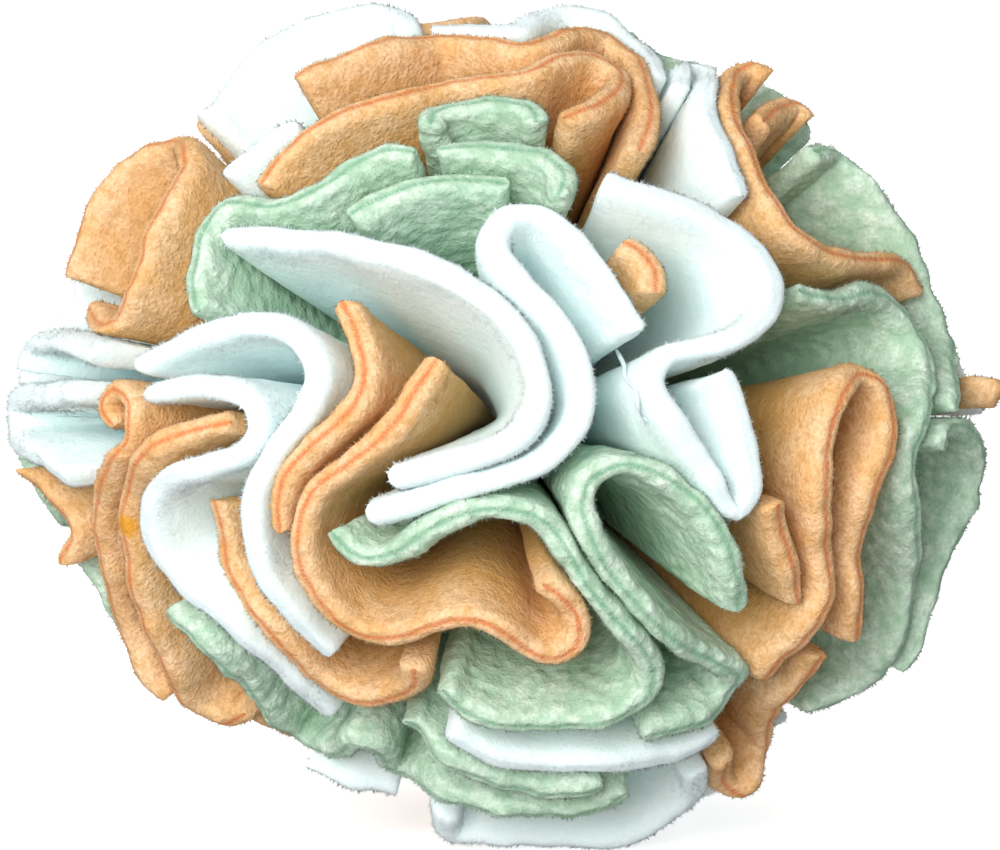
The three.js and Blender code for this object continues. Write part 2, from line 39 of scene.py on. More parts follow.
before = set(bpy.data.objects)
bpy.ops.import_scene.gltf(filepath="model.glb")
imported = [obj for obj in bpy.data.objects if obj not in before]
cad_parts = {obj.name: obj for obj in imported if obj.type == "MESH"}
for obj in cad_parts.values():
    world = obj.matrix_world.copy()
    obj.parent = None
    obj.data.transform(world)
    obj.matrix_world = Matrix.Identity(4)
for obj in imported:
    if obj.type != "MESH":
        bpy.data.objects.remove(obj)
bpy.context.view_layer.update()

MM = 0.001
HALF_WIDTH = 83.0  # centre of the ball to its widest side, in mm
HALF_HEIGHT = 70.5
HALF_DEPTH = 75.0
CENTRE_HEIGHT = 67.5  # centre of the ball above the floor
LOOK_UP = math.radians(10)  # how far the presented side faces upwards
CENTRE = np.array([-0.4, 0.4, CENTRE_HEIGHT])  # across, back and up
REACH = 75.0  # the way in from a cut edge to the middle of the ball
RIM_LIMIT = 0.985  # share of the outline past which a place counts as further out

# ---- tables -------------------------------------------------------------------------------------
# A strip's folds are places on its cut edge: mm across and up from the middle of the ball and,
# where it isn't 1, how far the place stands out, as a share of the ball.
Strip = namedtuple("Strip", "name cloth folds")
# A strip that goes to and fro: the turn of its first leg, the tilt from the middle of the back at
# each end and bend, and how far each leg is nudged aside, in degrees.
Ruffle = namedtuple("Ruffle", "name cloth start tilts nudge")
LEG_PITCH = 8.7  # from one leg to the next, in degrees
RUFFLE_OUT = 0.985  # how far a ruffle stands out, as a share of the ball
# Where folds lean on their way down: mm across and up, width in mm, how strongly, and -1 for the
# presented side or 1 for the back.
Hollow = namedtuple("Hollow", "across up width pull side", defaults=[-1])

# How far the outline reaches at each turn, in degrees from +X towards +Z: (turn, reach).
OUTLINE = [
    (0, 1), (15, 0.93), (30, 0.925), (45, 0.945), (60, 0.985), (68, 0.95), (82, 0.995), (97, 0.98),
    (108, 1.02), (118, 1.02), (128, 0.97), (145, 0.98), (156, 0.945), (162, 0.915), (169, 0.99),
    (182, 0.99), (195, 0.93), (210, 0.915), (222, 0.925), (234, 0.87), (241, 0.86), (250, 0.895),
    (256, 0.885), (264, 0.98), (270, 1), (285, 1.02), (298, 0.98), (307, 0.92), (315, 0.945),
    (325, 0.985), (338, 0.95), (350, 0.98),
]

HOLLOWS = [
    Hollow(-6, 9, 17, 0.5),  # the deep pocket of the big petal
    Hollow(-10, -23, 13, 0.55),  # between the green ribbon and the orange wave
    Hollow(24, -21, 13, 0.45),  # inside the green spiral
    Hollow(61, -1, 10, 0.45),  # inside the orange loop
    Hollow(-47, -20, 11, 0.45),  # inside the white fork
    Hollow(-38, 10, 10, 0.3),  # under the white curl
    Hollow(26, -3, 12, 0.35),  # beside the white twist
    Hollow(-60, 30, 9, 0.35),  # inside the orange leaf
    Hollow(14, 54, 8, 0.4),  # inside the orange crown
    Hollow(-22, 12, 14, 0.45, 1),  # five more on the back
    Hollow(14, -18, 14, 0.4, 1),
    Hollow(24, 24, 12, 0.4, 1),
    Hollow(-34, -32, 14, 0.45, 1),
    Hollow(48, -12, 13, 0.4, 1),
]

PRESENTED = [
    Strip("petal", "white", [
        (-46, 31.5), (-38, 31.5), (-28, 30.5, 1.01), (-17, 28, 1.02), (-8, 24.5, 1.03),
        (0, 19, 1.03), (5, 12, 1.03), (6.5, 5, 1.03), (4, -1, 1.02), (-1.5, -4.5, 1.01), (-10, -7),
        (-18, -9),
    ]),
    Strip("swirl", "white", [
        (23, 15.5), (17, 25), (11.5, 32), (6, 35.5), (1, 34.5), (-1, 30.5), (1, 26.5), (5, 22),
        (10, 16.5), (13, 9.5, 1.01), (13.5, 3, 1.01), (11.5, -2, 1.01), (6.5, -6.5), (0, -9),
        (-8.5, -11), (-16, -13.5), (-22, -15),
    ]),
    Strip("twin", "orange", [
        (-26.5, 21, 0.94), (-24, 15.5, 0.95), (-22.5, 9.5, 0.97), (-23.5, 4), (-27.5, -0.5),
        (-31.5, -4), (-35, -8), (-36.5, -12.5), (-36.5, -18),
    ]),
    Strip("wave", "orange", [
        (-10.5, 11, 0.95), (-14, 6, 0.96), (-17, 1, 0.98), (-20.5, -3), (-25, -6.5), (-29.5, -9.5),
        (-32, -13), (-33, -17.5), (-33, -22), (-31, -27), (-27.5, -31.5), (-23, -34.5),
        (-17, -35, 1.02), (-11, -33, 1.02), (-5, -32, 1.02), (0.5, -34, 1.02), (5, -37.5, 1.02),
        (9, -38.5, 1.02), (12.5, -36.5, 1.01), (13, -32.5), (10.5, -28.5), (7, -26),
    ]),
    Strip("hook", "orange", [
        (-47.5, -12, 0.92), (-46.5, -17.5, 0.92), (-45.5, -23, 0.93), (-43, -28.5, 0.95),
        (-39.5, -33, 0.98), (-35.5, -38.2), (-31, -43), (-25.5, -46), (-19, -46), (-14.5, -43.5),
        (-14, -40),
    ]),
    Strip("curl", "white", [
        (-60, 9.5), (-54, 13), (-48, 15.5), (-42, 17), (-36.5, 16.5), (-32.5, 13.5), (-30.5, 8.5),
        (-32, 3), (-36, -2.5), (-39, -7.5), (-41, -13), (-41, -19), (-39.5, -25), (-35.5, -31),
        (-32, -35.5), (-28.5, -39),
    ]),
    Strip("fork", "white", [
        (-58.5, 5), (-52, 6.5), (-46, 6), (-41.5, 3.5), (-40.5, -0.5), (-43, -4.5), (-48, -6.5),
        (-54, -8.5), (-58, -12), (-59, -17), (-57.5, -22.5), (-53, -27.5), (-47, -32), (-41, -38),
        (-35, -44), (-29.5, -49.5),
    ]),
    Strip("left_band", "orange", [
        (-63.5, 0), (-65.5, 3), (-63.5, 5.8), (-61, 4), (-61.5, -2), (-64.5, -7), (-67, -12.5),
        (-67.5, -18), (-66, -25), (-63.5, -33), (-60.5, -40), (-56, -46),
    ]),
    Strip("left_fold", "orange", [
        (-44.5, 0.5, 0.95), (-51, -1, 0.97), (-57, -3.5), (-61, -8.5), (-63, -14), (-62.5, -21),
        (-61, -28), (-58.5, -35), (-55, -42), (-51, -47.5), (-46.5, -50), (-43, -48.5),
    ]),
    Strip("leaf", "orange", [
        (-72.5, 24.5), (-69.5, 34), (-62.5, 43.5), (-55, 47.5), (-52, 44), (-55.5, 36.5),
        (-59.5, 28), (-62.5, 20.5), (-66, 17), (-69, 19.5),
    ]),
    Strip("upper_ear", "white", [(-67.5, 12), (-73, 14.5), (-78.5, 13.5), (-80, 9.5)]),
    Strip("lower_ear", "white", [
        (-70, 5.5), (-76, 5), (-81.5, 3.5), (-81.5, -1.5), (-76.5, -5.5), (-71.5, -9),
    ]),
    Strip("lobe", "orange", [(-80.5, -7.5), (-77, -10.5), (-74, -14), (-72, -18.5), (-73, -23)]),
    Strip("shoulder", "white", [(-33.5, 49.5), (-38, 47.6), (-42, 44.8), (-45.5, 41.5)]),
    Strip("brow", "green", [
        (-50, 18.8), (-51, 23), (-50, 28), (-48.5, 33), (-44.5, 36.5), (-38, 36), (-33, 37.5),
        (-28, 40.5), (-22.5, 44), (-17.5, 45.5), (-14, 45),
    ]),
    Strip("under_brow", "green", [
        (-25, 34.5, 0.96), (-22, 36.5, 0.96), (-17.5, 38.5, 0.96), (-12, 40, 0.96),
        (-5, 40.5, 0.96), (1.5, 39.8, 0.96),
    ]),
    Strip("knob", "green", [(-11.5, 49.5), (-10.5, 52), (-6, 53), (0.5, 53.2), (5, 52), (6, 49.8)]),
    Strip("shelf", "green", [
        (-10.5, 45.5), (-4.5, 45.8), (3.5, 45.5), (8.5, 43.5), (10.5, 40.5), (9.5, 37.5),
    ]),
    Strip("crown", "orange", [
        (-34, 57.5), (-29, 60), (-24, 62), (-17.5, 63.5), (-10, 64.5), (-2.5, 64), (4, 63),
        (8.5, 64.3), (13, 65.8), (18, 65), (22.5, 61.5), (24.5, 57), (25, 51.5), (23, 45.5),
    ]),
    Strip("crown_curl", "orange", [
        (-39.5, 40), (-37, 43.5), (-31.5, 48.5), (-25, 52), (-17, 54.8), (-8, 56.8), (0, 57.5),
        (5.5, 58.5), (10, 60.8), (15, 61.5), (19.5, 59.5), (19.5, 55.5), (15.5, 52.5), (10.5, 51),
    ]),
    Strip("cap", "white", [
        (-50, 51.5), (-47, 55.5), (-43, 60.5), (-38, 64.5), (-33, 67.5), (-27.5, 69.5), (-22, 70),
        (-17, 68.5), (-15, 66.8),
    ]),
    Strip("cap_tail", "white", [
        (-11, 66.3), (-3.5, 65.8), (2, 65.8), (6, 67.8), (11, 69.3), (17.5, 68), (23.5, 63.5),
        (27, 58.5),
    ]),
    Strip("spear", "white", [
        (30, 56.5), (32, 60.5), (34.5, 59.5), (34.5, 54.5), (36.2, 48.5), (38.5, 43), (40.5, 38),
    ]),
    Strip("twist", "white", [
        (17.5, 41), (23, 39), (31, 36.5), (37.5, 33), (43, 28.5, 1.02), (45.5, 23.5, 1.03),
        (44, 18, 1.03), (39.5, 14.5, 1.02), (33.5, 13), (28, 11.5), (25.5, 7.5), (27, 3),
        (30.5, -2), (34, -7), (37, -12), (39.5, -14.5), (41.5, -12), (41.5, -6.5), (40.2, 0),
        (38.5, 5.5), (36.5, 9),
    ]),
    Strip("strap", "orange", [
        (45.5, 59), (42.5, 60), (39.8, 59), (38.5, 56), (38.5, 52.5), (40, 48), (42.5, 43),
        (45.5, 37.5), (48.5, 33), (52.5, 30), (58, 28), (63.5, 27.5), (67.5, 26.5), (70.5, 22.5),
    ]),
    Strip("corner", "orange", [(43.8, 50.5), (46.5, 52.8), (49.8, 53.4), (52.4, 51.8)]),
    Strip("flank", "green", [
        (52.5, 45.8), (56.8, 45.4), (61, 42), (66, 35.5), (70, 27.5), (73, 21), (75, 15), (75.5, 9),
        (75.5, 2.5),
    ]),
    Strip("skirt", "green", [
        (49.5, 22.5), (52.5, 21.5), (57, 21), (62, 22), (66.5, 20), (69.5, 15.5), (71.5, 10),
        (71.5, 4), (69.5, -2.5), (68.5, -9.5), (69, -17), (69, -24), (68, -31), (66, -37),
        (62.5, -42.5), (57, -46), (51, -48),
    ]),
    Strip("loop", "orange", [
        (44, -42.5), (46, -39.5), (49, -36.5), (52.5, -32.5), (54.5, -28), (54.5, -23), (53.5, -17),
        (53.5, -9.5), (54.5, -1), (56.5, 5, 1.02), (60, 8.5, 1.02), (63.5, 7, 1.02), (65, 2),
        (64, -4.5), (61.5, -11), (60, -18), (59.5, -27), (59, -36),
    ]),
    Strip("flap", "orange", [
        (45.5, -13), (46.5, -18, 0.98), (48.5, -24, 0.98), (49.5, -29.5, 0.97),
    ]),
    Strip("heel", "orange", [
        (53.5, -38.5), (51, -42), (47.5, -46), (44.8, -50), (44.4, -54.5), (43.6, -59),
        (40.2, -61.8), (37.3, -59.6), (37.6, -56),
    ]),
    Strip("spiral", "green", [
        (39.5, -31), (38.5, -24), (36, -17), (31.5, -11.5), (26, -8), (20.5, -6.5), (15.5, -8.5),
        (13.5, -12.5), (14.5, -17.5), (17.5, -23.5), (22, -29), (26.5, -33.5), (31, -37),
        (36, -39.5), (39.5, -42), (37, -46.5), (30.5, -49.8), (24, -51.5),
    ]),
    Strip("ribbon", "green", [
        (-28, -17.5, 0.97), (-25.5, -20.5, 0.97), (-22, -22, 0.97), (-17.5, -21, 0.98), (-13, -18),
        (-8.5, -15.5), (-3.5, -14), (2.5, -14), (7.5, -16), (11, -20.5), (14.5, -26.5), (19, -32),
        (23.5, -37), (25.5, -41.5), (24.5, -45), (20, -47.8), (14, -49.3), (6, -49.8), (-1.5, -49),
        (-7, -47), (-9.5, -44),
    ]),
    Strip("saucer", "white", [
        (-8.5, -51), (-5, -53.2), (0, -55.5), (6.5, -56.5), (14, -56.5), (23, -56), (31.5, -54),
        (36.5, -51.5),
    ]),
    Strip("ledge", "green", [
        (-16, -50), (-12.5, -52.5), (-8, -56.5), (1, -60), (9, -60.8), (17, -60),
    ]),
    Strip("vine", "green", [
        (-56, -31.5), (-50, -36.5), (-45, -42), (-39, -49.5), (-33.5, -53.5), (-28, -55.5),
        (-24.5, -53.5), (-21.5, -54.5), (-17.5, -58.5), (-10, -62), (-2, -63.8), (9, -64.5),
        (16.5, -64), (21, -61.5),
    ]),
    Strip("hem", "white", [
        (-9.5, -65.5), (-8, -68.5), (-1.5, -69.8), (6.5, -70.5), (17.5, -69.8), (27.5, -66.5),
        (32.5, -62), (33, -58),
    ]),
    Strip("toe", "white", [(-32.5, -57), (-28, -59), (-22.5, -60.8), (-17.5, -62)]),
    Strip("key", "orange", [(79, 8), (83, 7.5), (82.5, 3)]),
    Strip("frill", "green", [
        (72.8, -4), (74, -1), (77.5, 0), (80, -2.5), (80, -8.5), (78.5, -15), (75.5, -21),
        (72.5, -26.5), (71.5, -32), (70, -37), (67, -41),
    ]),
    Strip("dot", "orange", [
        (20.5, 30.5, 0.94), (23.5, 28.5, 0.94), (25.6, 25.4, 0.94), (25.8, 22, 0.94),
    ]),
]

BACK = [
    Strip("back_rose", "orange", [
        (-6, 14), (3, 16), (9, 10), (5, 3), (-3, -1), (-9, -8), (-4, -15), (5, -15),
    ]),
    Strip("back_swirl", "white", [
        (12, 22), (19, 14), (18, 4), (12, -3), (12, -10), (14, -18), (8, -24), (-4, -24),
        (-14, -20),
    ]),
    Strip("back_bend", "green", [
        (4, 24), (-6, 23), (-15, 19), (-18, 10), (-13, 3), (-17, -4), (-18, -12), (-24, -16),
        (-30, -10), (-28, 0), (-26, 10), (-27, 20), (-20, 28), (-10, 31),
    ]),
    Strip("back_arc", "orange", [
        (0, 33), (10, 31), (20, 26), (27, 17), (26, 6), (20, -3), (21, -12), (22, -22), (14, -31),
        (2, -33),
    ]),
    Strip("back_wrap", "white", [
        (-8, -31), (-18, -28), (-28, -23), (-36, -14), (-36, -2), (-34, 10), (-36, 20), (-30, 30),
        (-20, 37), (-6, 40),
    ]),
    Strip("back_side", "green", [
        (36, 26), (35, 14), (31, 4), (32, -6), (31, -18), (27, -28), (18, -38), (6, -42), (-6, -41),
    ]),
    Strip("back_sweep", "orange", [
        (6, 42), (17, 38), (27, 35), (38, 33), (44, 24), (43, 12), (39, 3), (41, -8), (40, -20),
        (35, -31), (28, -40),
    ]),
    Strip("back_left", "white", [
        (-14, -38), (-24, -34), (-34, -29), (-42, -20), (-45, -8), (-42, 4), (-44, 14), (-45, 24),
    ]),
    Strip("back_top", "green", [(-38, 35), (-28, 43), (-16, 47), (-4, 49), (8, 50), (19, 46)]),
    Strip("back_base", "green", [(-24, -43), (-12, -48), (0, -50), (14, -49), (23, -46)]),
]

RUFFLES = [
    Ruffle("ruffle_1", "white", 4, [56, 95, 52, 91, 57, 95], [0, 1.4, -0.8, 0.6, 0]),
    Ruffle("ruffle_2", "green", 49, [52, 92, 58, 95, 51, 90], [0.6, -1.2, 0.8, -0.6, 0.8]),
    Ruffle("ruffle_3", "orange", 94, [60, 94, 53, 96, 56, 85], [-0.5, 0.9, 0.4, -1.3, 0.3]),
    Ruffle("ruffle_4", "white", 139, [54, 96, 58, 90, 52, 95], [0, -0.8, 1.3, 0.5, -0.5]),
    Ruffle("ruffle_5", "green", 184, [58, 93, 51, 95, 59, 92], [0.7, 0.3, -1.2, 0.9, 0]),
    Ruffle("ruffle_6", "orange", 229, [53, 96, 56, 91, 52, 96], [0, 1, -0.6, -1, 0.5]),
    Ruffle("ruffle_7", "white", 274, [57, 92, 60, 96, 54, 90], [0.4, -1.3, 0.6, 0.8, -0.4]),
    Ruffle("ruffle_8", "orange", 319, [52, 95, 57, 93, 58, 95], [-0.3, 0.7, -1, 1.2, 0]),
]


# ---- the shape of the ball ----------------------------------------------------------------------
def smoothstep(x, low, high):
    """3 s^2 - 2 s^3, with s the share of the way from low to high, from 0 to 1."""
    s = np.clip((x - low) / (high - low), 0, 1)
    return s * s * (3 - 2 * s)


def reach_at(turn):
    """The outline's reach at turns in degrees, blended smoothly between its rows."""
    rows = np.array(OUTLINE, float)
    turn = np.mod(turn, 360)
    after = np.searchsorted(rows[:, 0], turn, side="right")
    a, b = rows[after - 1], rows[after % len(rows)]
    share = (turn - a[..., 0]) / np.mod(b[..., 0] - a[..., 0], 360)
    return a[..., 1] + (b[..., 1] - a[..., 1]) * share * share * (3 - 2 * share)


def squash(x, z):
    """How much the ball is squashed in a direction: nothing at its front and back, all at its
    outline."""
    turn = np.degrees(np.arctan2(z, x))
    return 1 + (reach_at(turn) - 1) * smoothstep(np.hypot(x, z), 0.45, 0.95)


def direction(across, up, side):
    """The unit direction from the centre to places on the presented side (-1) or the back (1), and
    how much further out the places lie where they pass the outline."""
    x, z = -side * across / HALF_WIDTH, up / HALF_HEIGHT
    size = squash(x, z)
    x, z = x / size, z / size
    spread = np.hypot(x, z)
    kept = np.minimum(spread, RIM_LIMIT) / np.maximum(spread, 1e-9)
    x, z = x * kept, z * kept
    way = np.stack([x, side * np.sqrt(1 - x * x - z * z), z], axis=-1)
    return way, np.maximum(spread / RIM_LIMIT, 1)


def place(way, share):
    """The place, in mm, at a share of the way out along unit directions: an ellipsoid squashed
    along its outline and turned to look up, with points under the floor drawn in to it."""
    size = share * squash(way[..., 0], way[..., 2])
    x, y, z = (way[..., i] * size * half
               for i, half in enumerate((HALF_WIDTH, HALF_DEPTH, HALF_HEIGHT)))
    c, s = math.cos(LOOK_UP), math.sin(LOOK_UP)
    x, y, z = x, y * c + z * s, z * c - y * s
    inward = np.where(z < -CENTRE_HEIGHT, -CENTRE_HEIGHT / np.minimum(z, -1), 1)
    return np.stack([x * inward, y * inward, z * inward], axis=-1) + CENTRE


def unit(v):
    """Vectors divided by their lengths."""
    return v / np.maximum(np.linalg.norm(v, axis=-1, keepdims=True), 1e-9)


def leaned(way, depth):
    """Directions leaned into the hollows near them: each adds pull x depth x a bell curve of the
    distance to it, along the way to it. depth is 0 at the cut edge and 1 far in."""
    moved = way.copy()
    for row in HOLLOWS:
        centre, _ = direction(np.array(row.across, float), np.array(row.up, float), row.side)
        offset = centre - way
        spread = row.width / HALF_HEIGHT
        fade = np.exp(-np.sum(offset * offset, axis=-1) / (2 * spread * spread))
        moved += offset * (row.pull * depth * fade)[..., None]
    return unit(moved)


def lean_share(level):
    """How much a place leans: nothing at the ball's surface, all at 0.45 of the way in."""
    return np.clip((1 - level) / 0.45, 0, 1)


# ---- unevenness ---------------------------------------------------------------------------------
def lattice(cell, seed):
    """A repeatable number from -1 to 1 for each whole cell: its three numbers are mixed by
    multiplying and shifting their bits."""
    c = cell.astype(np.int64).astype(np.uint64)
    with np.errstate(over="ignore"):
        h = (c[..., 0] * np.uint64(73856093)) ^ (c[..., 1] * np.uint64(19349663))
        h ^= (c[..., 2] * np.uint64(83492791)) ^ np.uint64(seed * 2654435761 % 2**32)
        h = (h ^ (h >> np.uint64(13))) * np.uint64(0x9E3779B97F4A7C15)
        h ^= h >> np.uint64(31)
    return (h & np.uint64(0xFFFFF)).astype(float) / 524287.5 - 1


def lumps(points, size, seed):
    """Smooth noise from -1 to 1 over points in mm, with lumps of the given size: lattice numbers
    blended between the eight corners of each cell."""
    p = points / size
    low = np.floor(p)
    s = p - low
    s = s * s * s * (s * (s * 6 - 15) + 10)
    total = 0
    for corner in range(8):
        step = np.array([corner & 1, corner >> 1 & 1, corner >> 2])
        weight = np.prod(np.where(step, s, 1 - s), axis=-1)
        total = total + weight * lattice(low + step, seed)
    return total


# ---- the strips' rims ---------------------------------------------------------------------------
def through(rows, dense=24):
    """Points on the centripetal Catmull-Rom curve through rows of x, y, z and more: between two
    rows it is the cubic whose end slopes weigh the chords by the square root of their lengths."""
    ends = [2 * rows[:1] - rows[1:2], rows, 2 * rows[-1:] - rows[-2:-1]]
    p = np.concatenate(ends)
    dt = np.maximum(np.linalg.norm(np.diff(p[:, :3], axis=0), axis=1) ** 0.5, 1e-4)[:, None]
    a, b, c = dt[:-2], dt[1:-1], dt[2:]
    p0, p1, p2, p3 = p[:-3], p[1:-2], p[2:-1], p[3:]
    m1 = ((p1 - p0) / a - (p2 - p0) / (a + b) + (p2 - p1) / b) * b
    m2 = ((p2 - p1) / b - (p3 - p1) / (b + c) + (p3 - p2) / c) * b
    t = (np.arange(dense) / dense)[None, :, None]
    p1, p2, m1, m2 = (v[:, None, :] for v in (p1, p2, m1, m2))
    curve = p1 + m1 * t + (3 * (p2 - p1) - 2 * m1 - m2) * t**2 + (2 * (p1 - p2) + m1 + m2) * t**3
    return np.concatenate([curve.reshape(-1, rows.shape[1]), rows[-1:]])


def spaced(curve, step):
    """Sections along a rim, step mm apart, with two more near each end for its rounded corners."""
    length = np.concatenate([[0], np.cumsum(np.linalg.norm(np.diff(curve[:, :3], axis=0), axis=1))])
    full = length[-1]
    near = np.array([0, 0.35, 0.9]) * 1.1 / HALF_WIDTH
    middle = np.linspace(near[-1], full - near[-1], max(int(full * HALF_WIDTH / step), 4))
    at = np.concatenate([near[:-1], middle, full - near[-2::-1]])
    rim = np.stack([np.interp(at, length, curve[:, i]) for i in range(4)], axis=-1)
    return unit(rim[:, :3]), rim[:, 3], at * HALF_WIDTH


def fold_rim(strip, side):
    """A strip's folds as directions and how far out they are: a place that stands out by a share
    lies in the direction of the place divided by that share."""
    across, up, out = np.array([(*row, 1)[:3] for row in strip.folds], float).T
    way, extra = direction(across / out, up / out, side)
    return np.column_stack([way, out * extra])


def ruffle_rim(ruffle):
    """Legs to and fro between the tilts, each with an end 4 degrees short of its bends."""
    rows = []
    for leg, nudge in enumerate(ruffle.nudge):
        turn = ruffle.start + leg * LEG_PITCH + nudge
        first, last = ruffle.tilts[leg], ruffle.tilts[leg + 1]
        inset = 4 if last > first else -4
        halfway = (turn + nudge / 2, (first + last) / 2)
        rows += [(turn, first + inset), halfway, (turn, last - inset)]
        if leg + 1 < len(ruffle.nudge):
            rows.append((turn + (LEG_PITCH + nudge) / 2, last))
    t, p = np.radians(np.array(rows, float)).T
    return np.column_stack([np.sin(p) * np.cos(t), np.cos(p), np.sin(p) * np.sin(t),
                            np.full(len(t), RUFFLE_OUT)])


# ---- the room between the strips ----------------------------------------------------------------
ROOM_DEPTHS = np.array([0, 5, 11, 19, 29, 42, 61.0])  # mm in from the cut edge


def side_rooms(lines, strip_of):
    """Half the way from each section to the nearest cloth on its left and on its right, as an
    angle: other strips, or its own where that is further along than 1.6 times the way."""
    points = np.concatenate(lines)
    heading = np.concatenate([unit(np.gradient(line, axis=0)) for line in lines])
    beside = unit(np.cross(points, heading))
    steps = [np.linalg.norm(np.diff(line, axis=0), axis=1) for line in lines]
    along = np.concatenate([np.concatenate([[0], np.cumsum(step)]) for step in steps])
    left, right = np.ones(len(points)), np.ones(len(points))
    for low in range(0, len(points), 500):  # a block at a time, to spare memory
        rows = slice(low, low + 500)
        dots = points[rows] @ points.T
        away = np.sqrt(np.maximum(2 - 2 * dots, 0))
        own = strip_of[rows, None] == strip_of[None, :]
        near = np.abs(along[rows, None] - along[None, :]) <= 1.6 * away
        away[own & near] = 1
        to_left = beside[rows] @ points.T - np.sum(beside[rows] * points[rows], axis=1)[:, None]
        left[rows] = np.where(to_left > -0.3 * away, away, 1).min(axis=1)
        right[rows] = np.where(to_left < 0.3 * away, away, 1).min(axis=1)
    return left / 2, right / 2


def curvature_room(line):
    """The radius of a rim's bends, on its left and its right, beyond which its inner side would
    cross itself, or 9, which is no limit, where it doesn't bend that way."""
    step = np.gradient(line, axis=0)
    length = np.maximum(np.linalg.norm(step, axis=1), 1e-9)
    heading = step / length[:, None]
    turn = np.gradient(heading, axis=0) / length[:, None]
    beside = unit(np.cross(line, heading))
    bend = np.sum(turn * beside, axis=1)
    return (np.where(bend > 1e-3, 1 / np.maximum(bend, 1e-3), 9),
            np.where(bend < -1e-3, 1 / np.maximum(-bend, 1e-3), 9))


def eased(values, reach=3):
    """The least value nearby, then its running mean, so that the cloth thins gradually."""
    wide = np.pad(values, reach, mode="edge")
    least = np.min([wide[i:i + len(values)] for i in range(2 * reach + 1)], axis=0)
    wide = np.pad(least, reach, mode="edge")
    return np.mean([wide[i:i + len(values)] for i in range(2 * reach + 1)], axis=0)


def lay_out(step_front, step_back):
    """Every strip's sections and, at each of the depths, the room on either side of them."""
    rims = [(strip, fold_rim(strip, -1), step_front) for strip in PRESENTED]
    rims += [(strip, fold_rim(strip, 1), step_back) for strip in BACK]
    rims += [(strip, ruffle_rim(strip), step_back) for strip in RUFFLES]
    strips = [(strip, spaced(through(rows), step)) for strip, rows, step in rims]
    strip_of = np.concatenate([np.full(len(s[1][1]), i) for i, s in enumerate(strips)])
    rooms = []
    for depth in ROOM_DEPTHS:
        level = 1 - depth / REACH
        lines = [leaned(way, lean_share(level * out)) for _, (way, out, _) in strips]
        left, right = side_rooms(lines, strip_of)
        both = []
        for i, line in enumerate(lines):
            radius = strips[i][1][1] * level * HALF_HEIGHT
            bends = curvature_room(line)
            both.append([eased(np.minimum(side[strip_of == i], 0.9 * bend) * radius)
                         for side, bend in zip((left, right), bends)])
        rooms.append(both)
    return [(strip, rim, np.array([both[i] for both in rooms]))
            for i, (strip, rim) in enumerate(strips)]


# ---- the cloth of a strip -----------------------------------------------------------------------
# Half of a strip's cross-section, from its gathered edge to the middle of its cut edge: mm in from
# the cut edge, and the share of half the thickness. Past PACKED mm in, the strips are tied tight
# and their cloth runs together.
PACKED = 61
PACKED_HALF = 1.5  # the least half thickness there, in mm
LEAST_HALF = 0.1  # and elsewhere
SECTION = [
    (73, 0.8), (68, 0.85), (PACKED, 0.9), (51, 0.95), (42, 1), (34, 1), (27.5, 1), (22, 1),
    (17.5, 1), (14, 1), (11.2, 1), (8.8, 1), (6.8, 1), (5.1, 1.01), (3.7, 1.02), (2.6, 1.02),
    (1.75, 0.99), (1.1, 0.92), (0.6, 0.8), (0.25, 0.62), (0.06, 0.42), (0.02, 0.2), (0.1, 0),
]


def strip_cloth(rim, rooms, sizes, seed):
    """The strip's skin as a grid of points, ring by ring, in mm. A ring runs up one side of the
    wall, over the cut edge and down the other. At a depth d the wall's middle line is the rim's
    directions leaned into the hollows, at the share 1 - d/REACH of the way out, and its sides
    stand off that line by half the thickness, or by the room there is if that is less."""
    way, out, along = rim
    depths, widths = np.array(SECTION, float).T
    depth = np.concatenate([depths, depths[-2::-1]])
    width = np.concatenate([widths, -widths[-2::-1]])
    rings, n = len(way), len(depth)
    edge = place(way, out)
    uneven = 0.6 * lumps(edge, 9.0, seed) + 0.4 * lumps(edge, 3.5, seed + 1)
    out = out + sizes.ragged / REACH * uneven
    ends = np.minimum(along, along[-1] - along)
    rounded = np.sqrt(np.clip(1 - (1 - np.minimum(ends, 1)) ** 2, 0.3, 1))
    points = np.empty((rings, n, 3))
    for k in range(n):
        level = 1 - depth[k] / REACH
        line = leaned(way, lean_share(level * out))
        radius = out * level * HALF_HEIGHT
        beside = unit(np.cross(line, unit(np.gradient(line, axis=0))))
        which = 0 if width[k] >= 0 else 1
        upper = min(int(np.searchsorted(ROOM_DEPTHS, depth[k], side="right")), len(ROOM_DEPTHS) - 1)
        share = (depth[k] - ROOM_DEPTHS[upper - 1]) / (ROOM_DEPTHS[upper] - ROOM_DEPTHS[upper - 1])
        room = rooms[upper - 1, which] * (1 - share) + rooms[upper, which] * share
        thick = sizes.thickness / 2 * (1 + 0.1 * lumps(edge + which * 50, 7.0, seed + 2))
        least = PACKED_HALF if depth[k] > PACKED else LEAST_HALF
        half = np.clip(np.minimum(thick, room - sizes.gap / 2), least, None) * rounded
        side = beside * (width[k] * half / radius)[:, None]
        points[:, k] = place(unit(line + side), out * level - 0.25 * (1 - rounded) / REACH)
    return points, depth, width


def grid_normals(points):
    """Unit normals of a grid of rings, outwards: the slope up a ring crossed with the slope along
    the strip."""
    up = np.roll(points, -1, axis=1) - np.roll(points, 1, axis=1)
    return unit(np.cross(up, np.gradient(points, axis=0)))


# How high a cloth's clumps of pile are, as a share of the setting, and how wide, in mm.
CLUMPS = {"white": (0.7, 3.6), "orange": (0.8, 2.8), "green": (1.6, 2.7)}


def above_floor(points):
    """Points lifted to the floor where they are under it."""
    return np.maximum(points, (-math.inf, -math.inf, 0))


